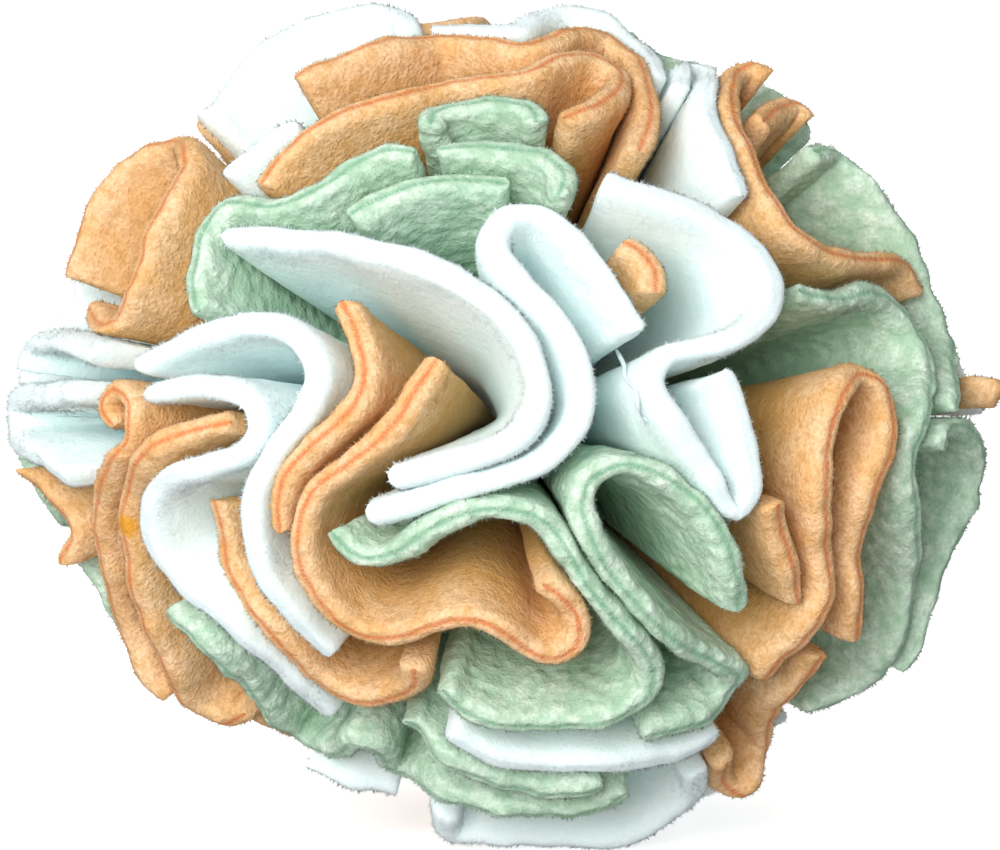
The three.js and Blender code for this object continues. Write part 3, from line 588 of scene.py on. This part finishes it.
def softened(points, depth, sizes, cloth, seed):
    """The skin moved along its normals by soft lumps and by clumps of pile, less deep down."""
    normals = grid_normals(points)
    high, wide = CLUMPS[cloth]
    fade = 1 - smoothstep(depth, 12, 40)
    move = sizes.lump * lumps(points, 10.0, seed)
    move = move + sizes.clump * high * lumps(points, wide, seed + 1)
    return above_floor(points + normals * (move * fade)[..., None]), normals


def skin_faces(rings, n):
    """Quads over a grid of closed rings, with both ends closed across from side to side."""
    i, k = np.meshgrid(np.arange(rings - 1), np.arange(n), indexing="ij")
    a, b = i * n + k, i * n + (k + 1) % n
    quads = np.stack([a, b, b + n, a + n], axis=-1).reshape(-1, 4)
    low = np.arange(n // 2 - 1)
    start = np.stack([low, n - 1 - low, n - 2 - low, low + 1], axis=-1)
    tip = np.array([[n // 2 - 1, n // 2 + 1, n // 2]])
    last = (rings - 1) * n
    quads = np.concatenate([quads, start, last + start[:, ::-1]])
    return quads, np.concatenate([tip, last + tip[:, ::-1]])


def mesh_object(name, points, groups, material, attributes=(), smooth=True):
    """A new object from points in mm and groups of faces with the same number of corners."""
    mesh = bpy.data.meshes.new(name)
    mesh.vertices.add(len(points))
    mesh.vertices.foreach_set("co", (np.asarray(points) * MM).astype(np.float32).ravel())
    loops = np.concatenate([faces.ravel() for faces in groups]).astype(np.int32)
    counts = np.concatenate([np.full(len(faces), faces.shape[1]) for faces in groups])
    mesh.loops.add(len(loops))
    mesh.loops.foreach_set("vertex_index", loops)
    mesh.polygons.add(len(counts))
    starts = np.concatenate([[0], np.cumsum(counts)[:-1]]).astype(np.int32)
    mesh.polygons.foreach_set("loop_start", starts)
    mesh.polygons.foreach_set("use_smooth", np.full(len(counts), smooth))
    for label, values in attributes:
        layer = mesh.attributes.new(label, "FLOAT", "POINT")
        layer.data.foreach_set("value", np.asarray(values, np.float32).ravel())
    mesh.update(calc_edges=True)
    mesh.validate()
    mesh.materials.append(material)
    obj = bpy.data.objects.new(name, mesh)
    bpy.context.collection.objects.link(obj)
    return obj


# ---- the pile -----------------------------------------------------------------------------------
# A tuft's length and width on each cloth, in mm, and how much it leans over.
BLADES = {"white": (0.8, 0.3, 2.4), "orange": (0.65, 0.22, 1.5), "green": (0.65, 0.26, 1.7)}
BLADE_FACES = np.array([[0, 2, 1], [0, 1, 3], [1, 2, 3], [2, 0, 3]])
PIECE_TUFTS = 48000  # the most tufts in one piece of pile
BACK_SHARE = 0.3  # how dense the pile on the back is, as a share of the presented side's


def tufts(points, normals, depth, sizes, cloth, density, seed):
    """Thin closed blades standing on a strip's skin: corners and soft normals. Each starts at a
    place picked by area and by how near it is to the cut edge, leans along a smooth swirl, and is
    widest across its lean, so that its broad side faces out as the cloth does."""
    rng = np.random.default_rng(seed)
    a, b = points[:-1, :-1], points[:-1, 1:]
    c, d = points[1:, 1:], points[1:, :-1]
    area = np.linalg.norm(np.cross(c - a, d - b), axis=-1) / 2
    mid = (depth[:-1] + depth[1:]) / 2
    weight = area * (1 - smoothstep(mid, 0.5, sizes.pile_reach))[None, :]
    count = int(density * weight.sum())
    picked = rng.choice(weight.size, count, p=(weight / weight.sum()).ravel())
    i, k = np.unravel_index(picked, weight.shape)
    u, v = rng.random((2, count, 1))
    base = (a[i, k] * (1 - u) * (1 - v) + b[i, k] * (1 - u) * v
            + c[i, k] * u * v + d[i, k] * u * (1 - v))
    normal = unit(normals[i, k] * (1 - u) + normals[i + 1, k + 1] * u)
    swirl = np.stack([lumps(base, 5.0, seed + n) for n in range(3)], axis=-1)
    swirl += rng.normal(0, 0.35, swirl.shape)
    length, width, lean = BLADES[cloth]
    way = unit(normal + lean * (swirl - normal * np.sum(swirl * normal, axis=-1, keepdims=True)))
    beside = unit(np.cross(normal, way) + 1e-6)
    outer = np.cross(way, beside)
    grow = sizes.pile * length * rng.uniform(0.6, 1.3, (count, 1))
    wide = width * rng.uniform(0.7, 1.2, (count, 1)) / 2
    foot = base - normal * 0.1
    corners = np.stack([foot + beside * wide, foot - beside * wide,
                        foot - outer * wide * 0.4, base + way * grow], axis=1)
    return above_floor(corners), np.repeat(unit(normal + 0.25 * way)[:, None], 4, axis=1)


# ---- the loose thread ---------------------------------------------------------------------------
# Across, up and towards the viewer from the ball's centre, in mm, in the frame tilted by LOOK_UP.
THREAD = [(18.9, 12.6, 55.0), (19.3, 11.9, 58.0), (19.8, 11.0, 60.5), (20.4, 9.6, 63.5),
          (20.5, 7.9, 66.0), (21.3, 6.8, 68.2), (22.1, 6.0, 69.8), (22.5, 4.6, 70.4),
          (22.6, 2.9, 70.2), (23.2, 1.5, 69.4)]
FRAYED = [(22.5, 0.1, 69.4), (23.2, -0.3, 69.8), (23.8, -0.1, 68.8), (24.6, 0.3, 69.5),
          (24.2, 0.9, 70.0)]


def tube(rows, thick, sides=6):
    """A closed tube along the smooth curve through the rows, thinner at its ends: rings of corners
    round the curve at its half thickness, in a plane square to it. Gives corners and faces."""
    line = through(rows, 4)
    ahead = unit(np.gradient(line, axis=0))
    beside = unit(np.cross(ahead, (0.3, 0.2, 1.0)))
    over = np.cross(ahead, beside)
    turn = np.arange(sides) * 2 * math.pi / sides
    taper = np.minimum(1, 0.35 + 0.65 * np.sin(np.linspace(0, math.pi, len(line))) * 2)
    ring = beside[:, None] * np.cos(turn)[:, None] + over[:, None] * np.sin(turn)[:, None]
    points = line[:, None] + ring * (taper * thick / 2)[:, None, None]
    i, k = np.meshgrid(np.arange(len(line) - 1), np.arange(sides), indexing="ij")
    a, b = i * sides + k, i * sides + (k + 1) % sides
    ends = np.array([np.arange(sides)[::-1], np.arange(sides) + (len(line) - 1) * sides])
    return points.reshape(-1, 3), np.stack([a, b, b + sides, a + sides], -1).reshape(-1, 4), ends


# ---- materials ----------------------------------------------------------------------------------
def linear(code):
    """An sRGB hex colour as linear red, green, blue and 1."""
    srgb = np.array([int(code[i:i + 2], 16) for i in (1, 3, 5)]) / 255
    return (*np.where(srgb <= 0.04045, srgb / 12.92, ((srgb + 0.055) / 1.055) ** 2.4), 1.0)


def node(tree, kind, settings=None, links=None, **values):
    """Adds a node, with its settings, the values of its inputs and what its inputs are linked to.
    An input is named with spaces as underscores, or by its number."""
    new = tree.nodes.new(kind)
    for key, value in (settings or {}).items():
        setattr(new, key, value)
    for key, value in values.items():
        new.inputs[key.replace("_", " ")].default_value = value
    for key, value in (links or {}).items():
        tree.links.new(value, new.inputs[key])
    return new


def mixed(tree, share, a, b):
    """Colour a blended with colour b. Each is a linear colour or another node's output."""
    mix = node(tree, "ShaderNodeMix", {"data_type": "RGBA"})
    tree.links.new(share, mix.inputs[0])
    for slot, colour in ((6, a), (7, b)):
        if isinstance(colour, bpy.types.NodeSocket):
            tree.links.new(colour, mix.inputs[slot])
        else:
            mix.inputs[slot].default_value = colour
    return mix.outputs[2]


def ramp(tree, value, low, high, to_low=0.0, to_high=1.0):
    """A value mapped smoothly from low..high to to_low..to_high."""
    new = node(tree, "ShaderNodeMapRange", {"interpolation_type": "SMOOTHSTEP"},
               {"Value": value}, From_Min=low, From_Max=high, To_Min=to_low, To_Max=to_high)
    return new.outputs["Result"]


def fine_noise(tree, where, size):
    """Noise whose lumps are size mm across."""
    return node(tree, "ShaderNodeTexNoise", None, {"Vector": where}, Scale=1 / (size * MM),
                Detail=2.0, Roughness=0.55).outputs["Fac"]


# How strongly the knitted ground shows on a cloth's cut edge; how strongly its grain and the
# painted shade in the dips of its pile show; how far in, in mm, its painted shade of the hollows is
# full;
# its sheen; the light that scatters in it and how far, in mm; and the depth in mm of its curls, of
# its clumps and of its fine pile.
Cloth = namedtuple("Cloth", "line grain deep sheen scatter reach curl clump fuzz")
CLOTHS = {
    "white": Cloth(0.1, 0.12, 32.0, 0.1, 0.6, 3.0, 0.0, 0.25, 0.15),
    "orange": Cloth(0.8, 0.4, 15.0, 0.12, 0.0, 1.5, 0.0, 0.4, 0.3),
    "green": Cloth(0.75, 0.4, 24.0, 0.12, 0.0, 1.5, 0.6, 0.35, 0.22),
}
# How wide the marks on every fleece are, in mm: patches, clumps of pile, fine pile and curls.
PATCH, CLUMP, FUZZ, CURL = 6.0, 1.6, 0.6, 2.3
STAIN_AT = (-62.2, -40.6, 57.6)  # a small yellow stain on left_fold's cut edge, in mm


def fleece_material(cloth, pile=False):
    """Polyester fleece, knitted and brushed: matt, with a soft pale sheen at grazing angles, pile
    in clumps about 1 mm across, and on a cut edge the darker knitted ground between its piles. Its
    colour
    also holds painted shade: in the hollows deep in from the cut edge, in the dips of the pile,
    between the green's curls and on the white's cut edge."""
    kind = CLOTHS[cloth]
    colours = bpy.context.scene.snuffle_colours
    lit, mid, shade, edge = (getattr(colours, f"{cloth}_{part}")[:]
                             for part in ("lit", "mid", "shade", "edge"))
    material = bpy.data.materials.new(f"{cloth}_fleece_{'pile' if pile else 'cloth'}")
    material.use_nodes = True
    tree = material.node_tree
    tree.nodes.clear()
    where = node(tree, "ShaderNodeTexCoord").outputs["Object"]
    broad = ramp(tree, fine_noise(tree, where, PATCH), 0.35, 0.65)
    clumps = fine_noise(tree, where, CLUMP)
    fuzz = fine_noise(tree, where, FUZZ)
    curls = kind.curl and node(
        tree, "ShaderNodeTexVoronoi", {"feature": "SMOOTH_F1"}, {"Vector": where},
        Scale=1 / (CURL * MM), Smoothness=0.6).outputs["Distance"]
    colour = mixed(tree, broad, mid, lit)
    # grain, and painted shade in the dips of the pile: specks mixed towards the shade colour where
    # the clumps and the fine pile are low
    colour = mixed(tree, ramp(tree, clumps, 0.6, 0.3, 0.0, kind.grain), colour, shade)
    colour = mixed(tree, ramp(tree, fuzz, 0.7, 0.3, 0.0, kind.grain), colour, shade)
    # painted shade between the green's curls, where their bumps dip
    if curls:
        colour = mixed(tree, ramp(tree, curls, 0.3, 0.75, 0.0, 0.45), colour, shade)
    if not pile:
        # painted shade: the deeper in from the cut edge, into the hollows between the strips, the
        # more the cloth is mixed towards its shade colour
        deep = node(tree, "ShaderNodeAttribute", {"attribute_name": "depth"}).outputs["Fac"]
        colour = mixed(tree, ramp(tree, deep, 0.0, kind.deep, 0.0, 0.7), colour, shade)
        if cloth == "white":  # painted shade: darker within 4 mm of its cut edge, to tone down the rim's light
            colour = mixed(tree, ramp(tree, deep, 4.0, 0.0, 0.0, 0.8), colour, edge)
        line = node(tree, "ShaderNodeAttribute", {"attribute_name": "edge"}).outputs["Fac"]
        ragged = node(tree, "ShaderNodeMath", {"operation": "ADD"}, {0: line, 1: fuzz})
        colour = mixed(tree, ramp(tree, ragged.outputs[0], 0.85, 1.5, 0.0, kind.line), colour,
                       edge)
    if cloth == "orange":
        stain = node(tree, "ShaderNodeVectorMath", {"operation": "DISTANCE"}, {0: where})
        stain.inputs[1].default_value = Vector(STAIN_AT) * MM
        colour = mixed(tree, ramp(tree, stain.outputs["Value"], 2.9 * MM, 1.2 * MM, 0.0, 0.85),
                       colour, colours.stain[:])
    normal = None
    for height, depth, invert in ((curls, kind.curl, True), (clumps, kind.clump, False),
                                  (fuzz, kind.fuzz, False)):
        if not depth:
            continue
        bump = node(tree, "ShaderNodeBump", {"invert": invert}, {"Height": height},
                    Distance=depth * MM)
        if normal:
            tree.links.new(normal, bump.inputs["Normal"])
        normal = bump.outputs["Normal"]
    shader = node(
        tree, "ShaderNodeBsdfPrincipled", None, {"Base Color": colour}, Roughness=0.95,
        Specular_IOR_Level=0.1, Sheen_Weight=0.0 if pile else kind.sheen, Sheen_Roughness=0.45,
        Sheen_Tint=lit, Subsurface_Weight=0.0 if pile else kind.scatter,
        Subsurface_Radius=(1.0, 0.95, 0.9), Subsurface_Scale=kind.reach * MM)
    if not pile:
        tree.links.new(normal, shader.inputs["Normal"])
    node(tree, "ShaderNodeOutputMaterial", None, {"Surface": shader.outputs[0]})
    return material


def cloth_material(cloth, pile=False):
    """A cloth's material, or its pile's, made the first time that it is asked for."""
    name = f"{cloth}_fleece_{'pile' if pile else 'cloth'}"
    return bpy.data.materials.get(name) or fleece_material(cloth, pile)


def board_material():
    """Matt white board, with some light of its own so that it comes out white all over."""
    material = bpy.data.materials.new("white_board")
    material.use_nodes = True
    shader = material.node_tree.nodes["Principled BSDF"]
    for name, value in (("Base Color", linear("#E8E8E8")), ("Roughness", 0.9),
                        ("Specular IOR Level", 0.1), ("Emission Color", (1, 1, 1, 1)),
                        ("Emission Strength", 0.65)):
        shader.inputs[name].default_value = value
    return material


# ---- settings -----------------------------------------------------------------------------------
class SnuffleSizes(bpy.types.PropertyGroup):
    """Sizes of the cloth and its pile, in mm."""

    thickness: bpy.props.FloatProperty(
        name="Thickness", description="Thickness of the fleece at its cut edge, in mm", default=4.2)
    gap: bpy.props.FloatProperty(
        name="Gap", description="Least gap between neighbouring strips, in mm", default=0.2)
    ragged: bpy.props.FloatProperty(
        name="Ragged", description="How unevenly the edges are cut, in mm", default=0.9)
    lump: bpy.props.FloatProperty(
        name="Lumps", description="Height of the cloth's soft lumps, in mm", default=0.35)
    clump: bpy.props.FloatProperty(
        name="Clumps", description="Height of the pile's clumps, in mm", default=0.22)
    pile: bpy.props.FloatProperty(
        name="Pile", description="Length of the pile, as a share of its usual length", default=1.0)
    pile_reach: bpy.props.FloatProperty(
        name="Pile reach", description="How far in from the cut edge the pile is made, in mm",
        default=9.0)
    density: bpy.props.FloatProperty(
        name="Density", description="Tufts in a square millimetre at the cut edge", default=3.2)
    step_front: bpy.props.FloatProperty(
        name="Front step", description="Length of a section on the presented side, in mm",
        default=1.25)
    step_back: bpy.props.FloatProperty(
        name="Back step", description="Length of a section on the back, in mm", default=1.6)


def colour_setting(name, description, code):
    """A colour setting whose default is an sRGB hex colour."""
    return bpy.props.FloatVectorProperty(
        name=name, description=description, subtype="COLOR", size=4, min=0, max=1,
        default=linear(code))


class SnuffleColours(bpy.types.PropertyGroup):
    """The colours of the three fleeces: for each a raised, a middle and a hollow colour and its
    knitted ground, and a stain. The hollow colours are painted shade, and the white's edge colour
    is also painted shade on its cut edge.
    """

    # Each fleece's hollow colour is its painted shade; the white's edge colour is also painted
    # shade on its cut edge.
    white_lit: colour_setting("White, raised", "White fleece where its pile is raised", "#F3FDFB")
    white_mid: colour_setting("White", "White fleece in between", "#EDFAF8")
    white_shade: colour_setting("White, hollow", "White fleece in its hollows", "#C6EAED")
    white_edge: colour_setting("White edge", "Knitted ground of the white fleece", "#E0EEF0")
    orange_lit: colour_setting(
        "Orange, raised", "Orange fleece where its pile is raised", "#F8D1A6")
    orange_mid: colour_setting("Orange", "Orange fleece in between", "#EFBF8A")
    orange_shade: colour_setting("Orange, hollow", "Orange fleece in its hollows", "#B88641")
    orange_edge: colour_setting("Orange edge", "Knitted ground of the orange fleece", "#D0703C")
    green_lit: colour_setting("Green, raised", "Green fleece where its pile is raised", "#E4F2E2")
    green_mid: colour_setting("Green", "Green fleece in between", "#C8E0CA")
    green_shade: colour_setting("Green, hollow", "Green fleece in its hollows", "#90B696")
    green_edge: colour_setting("Green edge", "Knitted ground of the green fleece", "#70A583")
    stain: colour_setting("Stain", "The small stain on the orange fleece", "#DF991C")


class SnuffleStage(bpy.types.PropertyGroup):
    """The light and the floor."""

    sky: bpy.props.FloatProperty(
        name="Sky", description="Strength of the even white light from all round", default=0.46)
    front: bpy.props.FloatProperty(
        name="Front", description="Power of the large light in front", default=46.0, unit="POWER")
    key: bpy.props.FloatProperty(
        name="Key", description="Power of the large light at the upper left", default=8.0,
        unit="POWER")
    behind: bpy.props.FloatProperty(
        name="Behind", description="Power of the large light behind", default=18.0,
        unit="POWER")
    distance: bpy.props.FloatProperty(
        name="Camera distance", description="From the camera to the ball", default=4.0,
        unit="LENGTH")


LAID = {}


def laid_out(sizes):
    """The strips' sections and rooms, worked out once for each pair of section lengths."""
    steps = sizes.step_front, sizes.step_back
    if steps not in LAID:
        LAID[steps] = lay_out(*steps)
    return LAID[steps]


def shaped(sizes, names):
    """The skin of each named strip: (strip, points, normals, depth, width, seed)."""
    for seed, (strip, rim, rooms) in enumerate(laid_out(sizes)):
        if strip.name in names:
            points, depth, width = strip_cloth(rim, rooms, sizes, 100 * seed)
            points, normals = softened(points, depth, sizes, strip.cloth, 100 * seed + 10)
            yield strip, points, normals, depth, width, 100 * seed


SHORTEST_SHEET = 0.0101  # the length, in m, that a shorter strip is declared at


def add_strips(sizes, strips):
    """Makes the strips' cloth, one piece each. Its edge attribute is 1 in the middle of the cut
    edge and 0 at its sides, and its depth is in mm from the cut edge."""
    for strip, points, _, depth, width, _ in shaped(sizes, {s.name for s in strips}):
        rings, n, _ = points.shape
        quads, tips = skin_faces(rings, n)
        middle = np.where(depth < 1.5, 1 - np.minimum(np.abs(width) / 0.6, 1), 0)
        obj = mesh_object(
            f"{strip.name}_cloth", points.reshape(-1, 3), [quads, tips],
            cloth_material(strip.cloth),
            [("edge", np.tile(middle, (rings, 1))), ("depth", np.tile(depth, (rings, 1)))])
        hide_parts(strip.name)
        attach(obj, "root")
        run = np.linalg.norm(np.diff(points[:, n // 2], axis=0), axis=1).sum() * MM
        run = max(run, SHORTEST_SHEET)
        deep = np.linalg.norm(np.diff(points[:, :n // 2 + 1], axis=1), axis=2).sum(1).mean() * MM
        skin = sum(face.area for face in obj.data.polygons)


# ---- operators ----------------------------------------------------------------------------------
VIEW_WIDTH = 0.16667  # how much the camera sees across at the ball, in m
# The floor is flat to FLAT_HALF m from the ball, and slopes up from there to FLOOR_HALF m, so that
# a low view ends on it too.
FLAT_HALF, FLOOR_HALF, FLOOR_SLOPE = 3.0, 60.0, 0.05
LIGHT_SIDE = 1.3  # side of each large square light, in m
LIGHTS = {"front": (-0.6, -1.9, 0.75), "upper_left": (-0.9, -1.5, 1.5), "behind": (-0.6, 2.1, 1.4)}


class SNUFFLE_OT_stage(bpy.types.Operator):
    """Make the camera, the floor and the light"""

    bl_idname = "snuffle.stage"
    bl_label = "Stage"

    def execute(self, context):
        stage = context.scene.snuffle_stage
        centre = Vector(CENTRE) * MM
        back = Vector((0, -math.cos(LOOK_UP), math.sin(LOOK_UP)))
        data = bpy.data.cameras.new("camera")
        data.sensor_width = 36
        data.lens = data.sensor_width * stage.distance / VIEW_WIDTH
        data.clip_start, data.clip_end = 0.1, 100
        camera = bpy.data.objects.new("camera", data)
        camera.location = centre + back * stage.distance
        camera.rotation_euler = (-back).to_track_quat("-Z", "Y").to_euler()
        context.collection.objects.link(camera)
        context.scene.camera = camera
        context.scene.view_settings.view_transform = "Standard"

        square = np.array([(-1, -1, 0), (1, -1, 0), (1, 1, 0), (-1, 1, 0)])
        raised = (0, 0, (FLOOR_HALF - FLAT_HALF) * FLOOR_SLOPE)
        corners = np.concatenate([square * FLAT_HALF, square * FLOOR_HALF + raised]) / MM
        faces = np.array([[0, 1, 2, 3], [0, 4, 5, 1], [1, 5, 6, 2], [2, 6, 7, 3], [3, 7, 4, 0]])
        floor = mesh_object("floor", corners, [faces], board_material(), smooth=False)
        floor.visible_diffuse = False  # it throws no colour back on the ball

        world = context.scene.world or bpy.data.worlds.new("white")
        context.scene.world = world
        world.use_nodes = True
        sky = world.node_tree.nodes["Background"]
        sky.inputs["Color"].default_value = (1, 1, 1, 1)
        sky.inputs["Strength"].default_value = stage.sky

        powers = (stage.front, stage.key, stage.behind)
        for (name, spot), power in zip(LIGHTS.items(), powers):
            data = bpy.data.lights.new(name, "AREA")
            data.shape, data.size, data.energy = "SQUARE", LIGHT_SIDE, power
            light = bpy.data.objects.new(name, data)
            light.location = spot
            light.rotation_euler = (centre - light.location).to_track_quat("-Z", "Y").to_euler()
            context.collection.objects.link(light)
        return {"FINISHED"}


class SNUFFLE_OT_presented_strips(bpy.types.Operator):
    """Make the strips of the presented side, each bent as it lies"""

    bl_idname = "snuffle.presented_strips"
    bl_label = "Presented strips"

    def execute(self, context):
        add_strips(context.scene.snuffle_sizes, PRESENTED)
        return {"FINISHED"}


class SNUFFLE_OT_back_strips(bpy.types.Operator):
    """Make the bent strips in the middle of the back"""

    bl_idname = "snuffle.back_strips"
    bl_label = "Back strips"

    def execute(self, context):
        add_strips(context.scene.snuffle_sizes, BACK)
        return {"FINISHED"}


class SNUFFLE_OT_ruffles(bpy.types.Operator):
    """Make the ruffles that go to and fro around the back"""

    bl_idname = "snuffle.ruffles"
    bl_label = "Ruffles"

    def execute(self, context):
        add_strips(context.scene.snuffle_sizes, RUFFLES)
        return {"FINISHED"}


class SNUFFLE_OT_pile(bpy.types.Operator):
    """Make the raised pile on the strips' outer faces and cut edges"""

    bl_idname = "snuffle.pile"
    bl_label = "Pile"

    def execute(self, context):
        sizes = context.scene.snuffle_sizes
        grown = {cloth: [] for cloth in CLOTHS}
        names = {s.name for s in [*PRESENTED, *BACK, *RUFFLES]}
        for strip, points, normals, depth, _, seed in shaped(sizes, names):
            density = sizes.density if strip in PRESENTED else sizes.density * BACK_SHARE
            grown[strip.cloth].append(
                tufts(points, normals, depth, sizes, strip.cloth, density, seed + 20))
        for cloth, parts in grown.items():
            corners, soft = (np.concatenate(values) for values in zip(*parts))
            for part, low in enumerate(range(0, len(corners), PIECE_TUFTS)):
                some = corners[low:low + PIECE_TUFTS].reshape(-1, 3)
                first = np.arange(0, len(some), 4)[:, None, None]
                obj = mesh_object(f"{cloth}_pile_{part + 1}", some,
                                  [(first + BLADE_FACES).reshape(-1, 3)],
                                  cloth_material(cloth, pile=True))
                obj.data.normals_split_custom_set_from_vertices(
                    soft[low:low + PIECE_TUFTS].reshape(-1, 3))
                obj.visible_shadow = obj.visible_diffuse = False  # hairs let light through
                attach(obj, "root")
        return {"FINISHED"}


class SNUFFLE_OT_loose_thread(bpy.types.Operator):
    """Make the end of white thread that hangs out between the folds, frayed at its tip"""

    bl_idname = "snuffle.loose_thread"
    bl_label = "Loose thread"

    def execute(self, context):
        tilted = np.array([(1, 0, 0), (0, math.sin(LOOK_UP), math.cos(LOOK_UP)),
                           (0, -math.cos(LOOK_UP), math.sin(LOOK_UP))])
        strands = [(THREAD, 0.75)] + [([THREAD[-2], THREAD[-1], tip], 0.25) for tip in FRAYED]
        corners, quads, ends, first = [], [], [], 0
        for rows, thick in strands:
            points, faces, caps = tube(np.array(rows) @ tilted + CENTRE, thick)
            corners.append(points)
            quads.append(faces + first)
            ends.append(caps + first)
            first += len(points)
        obj = mesh_object("loose_thread", np.concatenate(corners),
                          [np.concatenate(quads), np.concatenate(ends)], cloth_material("white"))
        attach(obj, "root")
        return {"FINISHED"}


OPERATORS = (
    SNUFFLE_OT_stage, SNUFFLE_OT_presented_strips, SNUFFLE_OT_back_strips, SNUFFLE_OT_ruffles,
    SNUFFLE_OT_pile, SNUFFLE_OT_loose_thread,
)


class SNUFFLE_PT_panel(bpy.types.Panel):
    """Lists the steps that make the ball"""

    bl_label = "Snuffle ball"
    bl_idname = "SNUFFLE_PT_panel"
    bl_space_type = "VIEW_3D"
    bl_region_type = "UI"
    bl_category = "Snuffle ball"

    def draw(self, context):
        for operator in OPERATORS:
            self.layout.operator(operator.bl_idname)


CLASSES = (SnuffleSizes, SnuffleColours, SnuffleStage, *OPERATORS, SNUFFLE_PT_panel)


def register():
    """Adds the settings, the operators and the panel."""
    for kind in CLASSES:
        bpy.utils.register_class(kind)
    bpy.types.Scene.snuffle_sizes = bpy.props.PointerProperty(type=SnuffleSizes)
    bpy.types.Scene.snuffle_colours = bpy.props.PointerProperty(type=SnuffleColours)
    bpy.types.Scene.snuffle_stage = bpy.props.PointerProperty(type=SnuffleStage)


def unregister():
    """Takes away what register adds."""
    del bpy.types.Scene.snuffle_stage
    del bpy.types.Scene.snuffle_colours
    del bpy.types.Scene.snuffle_sizes
    for kind in reversed(CLASSES):
        bpy.utils.unregister_class(kind)


def main():
    """Makes the ball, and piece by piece."""
    register()
    bpy.ops.snuffle.stage()
    bpy.ops.snuffle.presented_strips()
    bpy.ops.snuffle.back_strips()
    bpy.ops.snuffle.ruffles()
    bpy.ops.snuffle.pile()
    bpy.ops.snuffle.loose_thread()


if __name__ == "__main__":
    main()
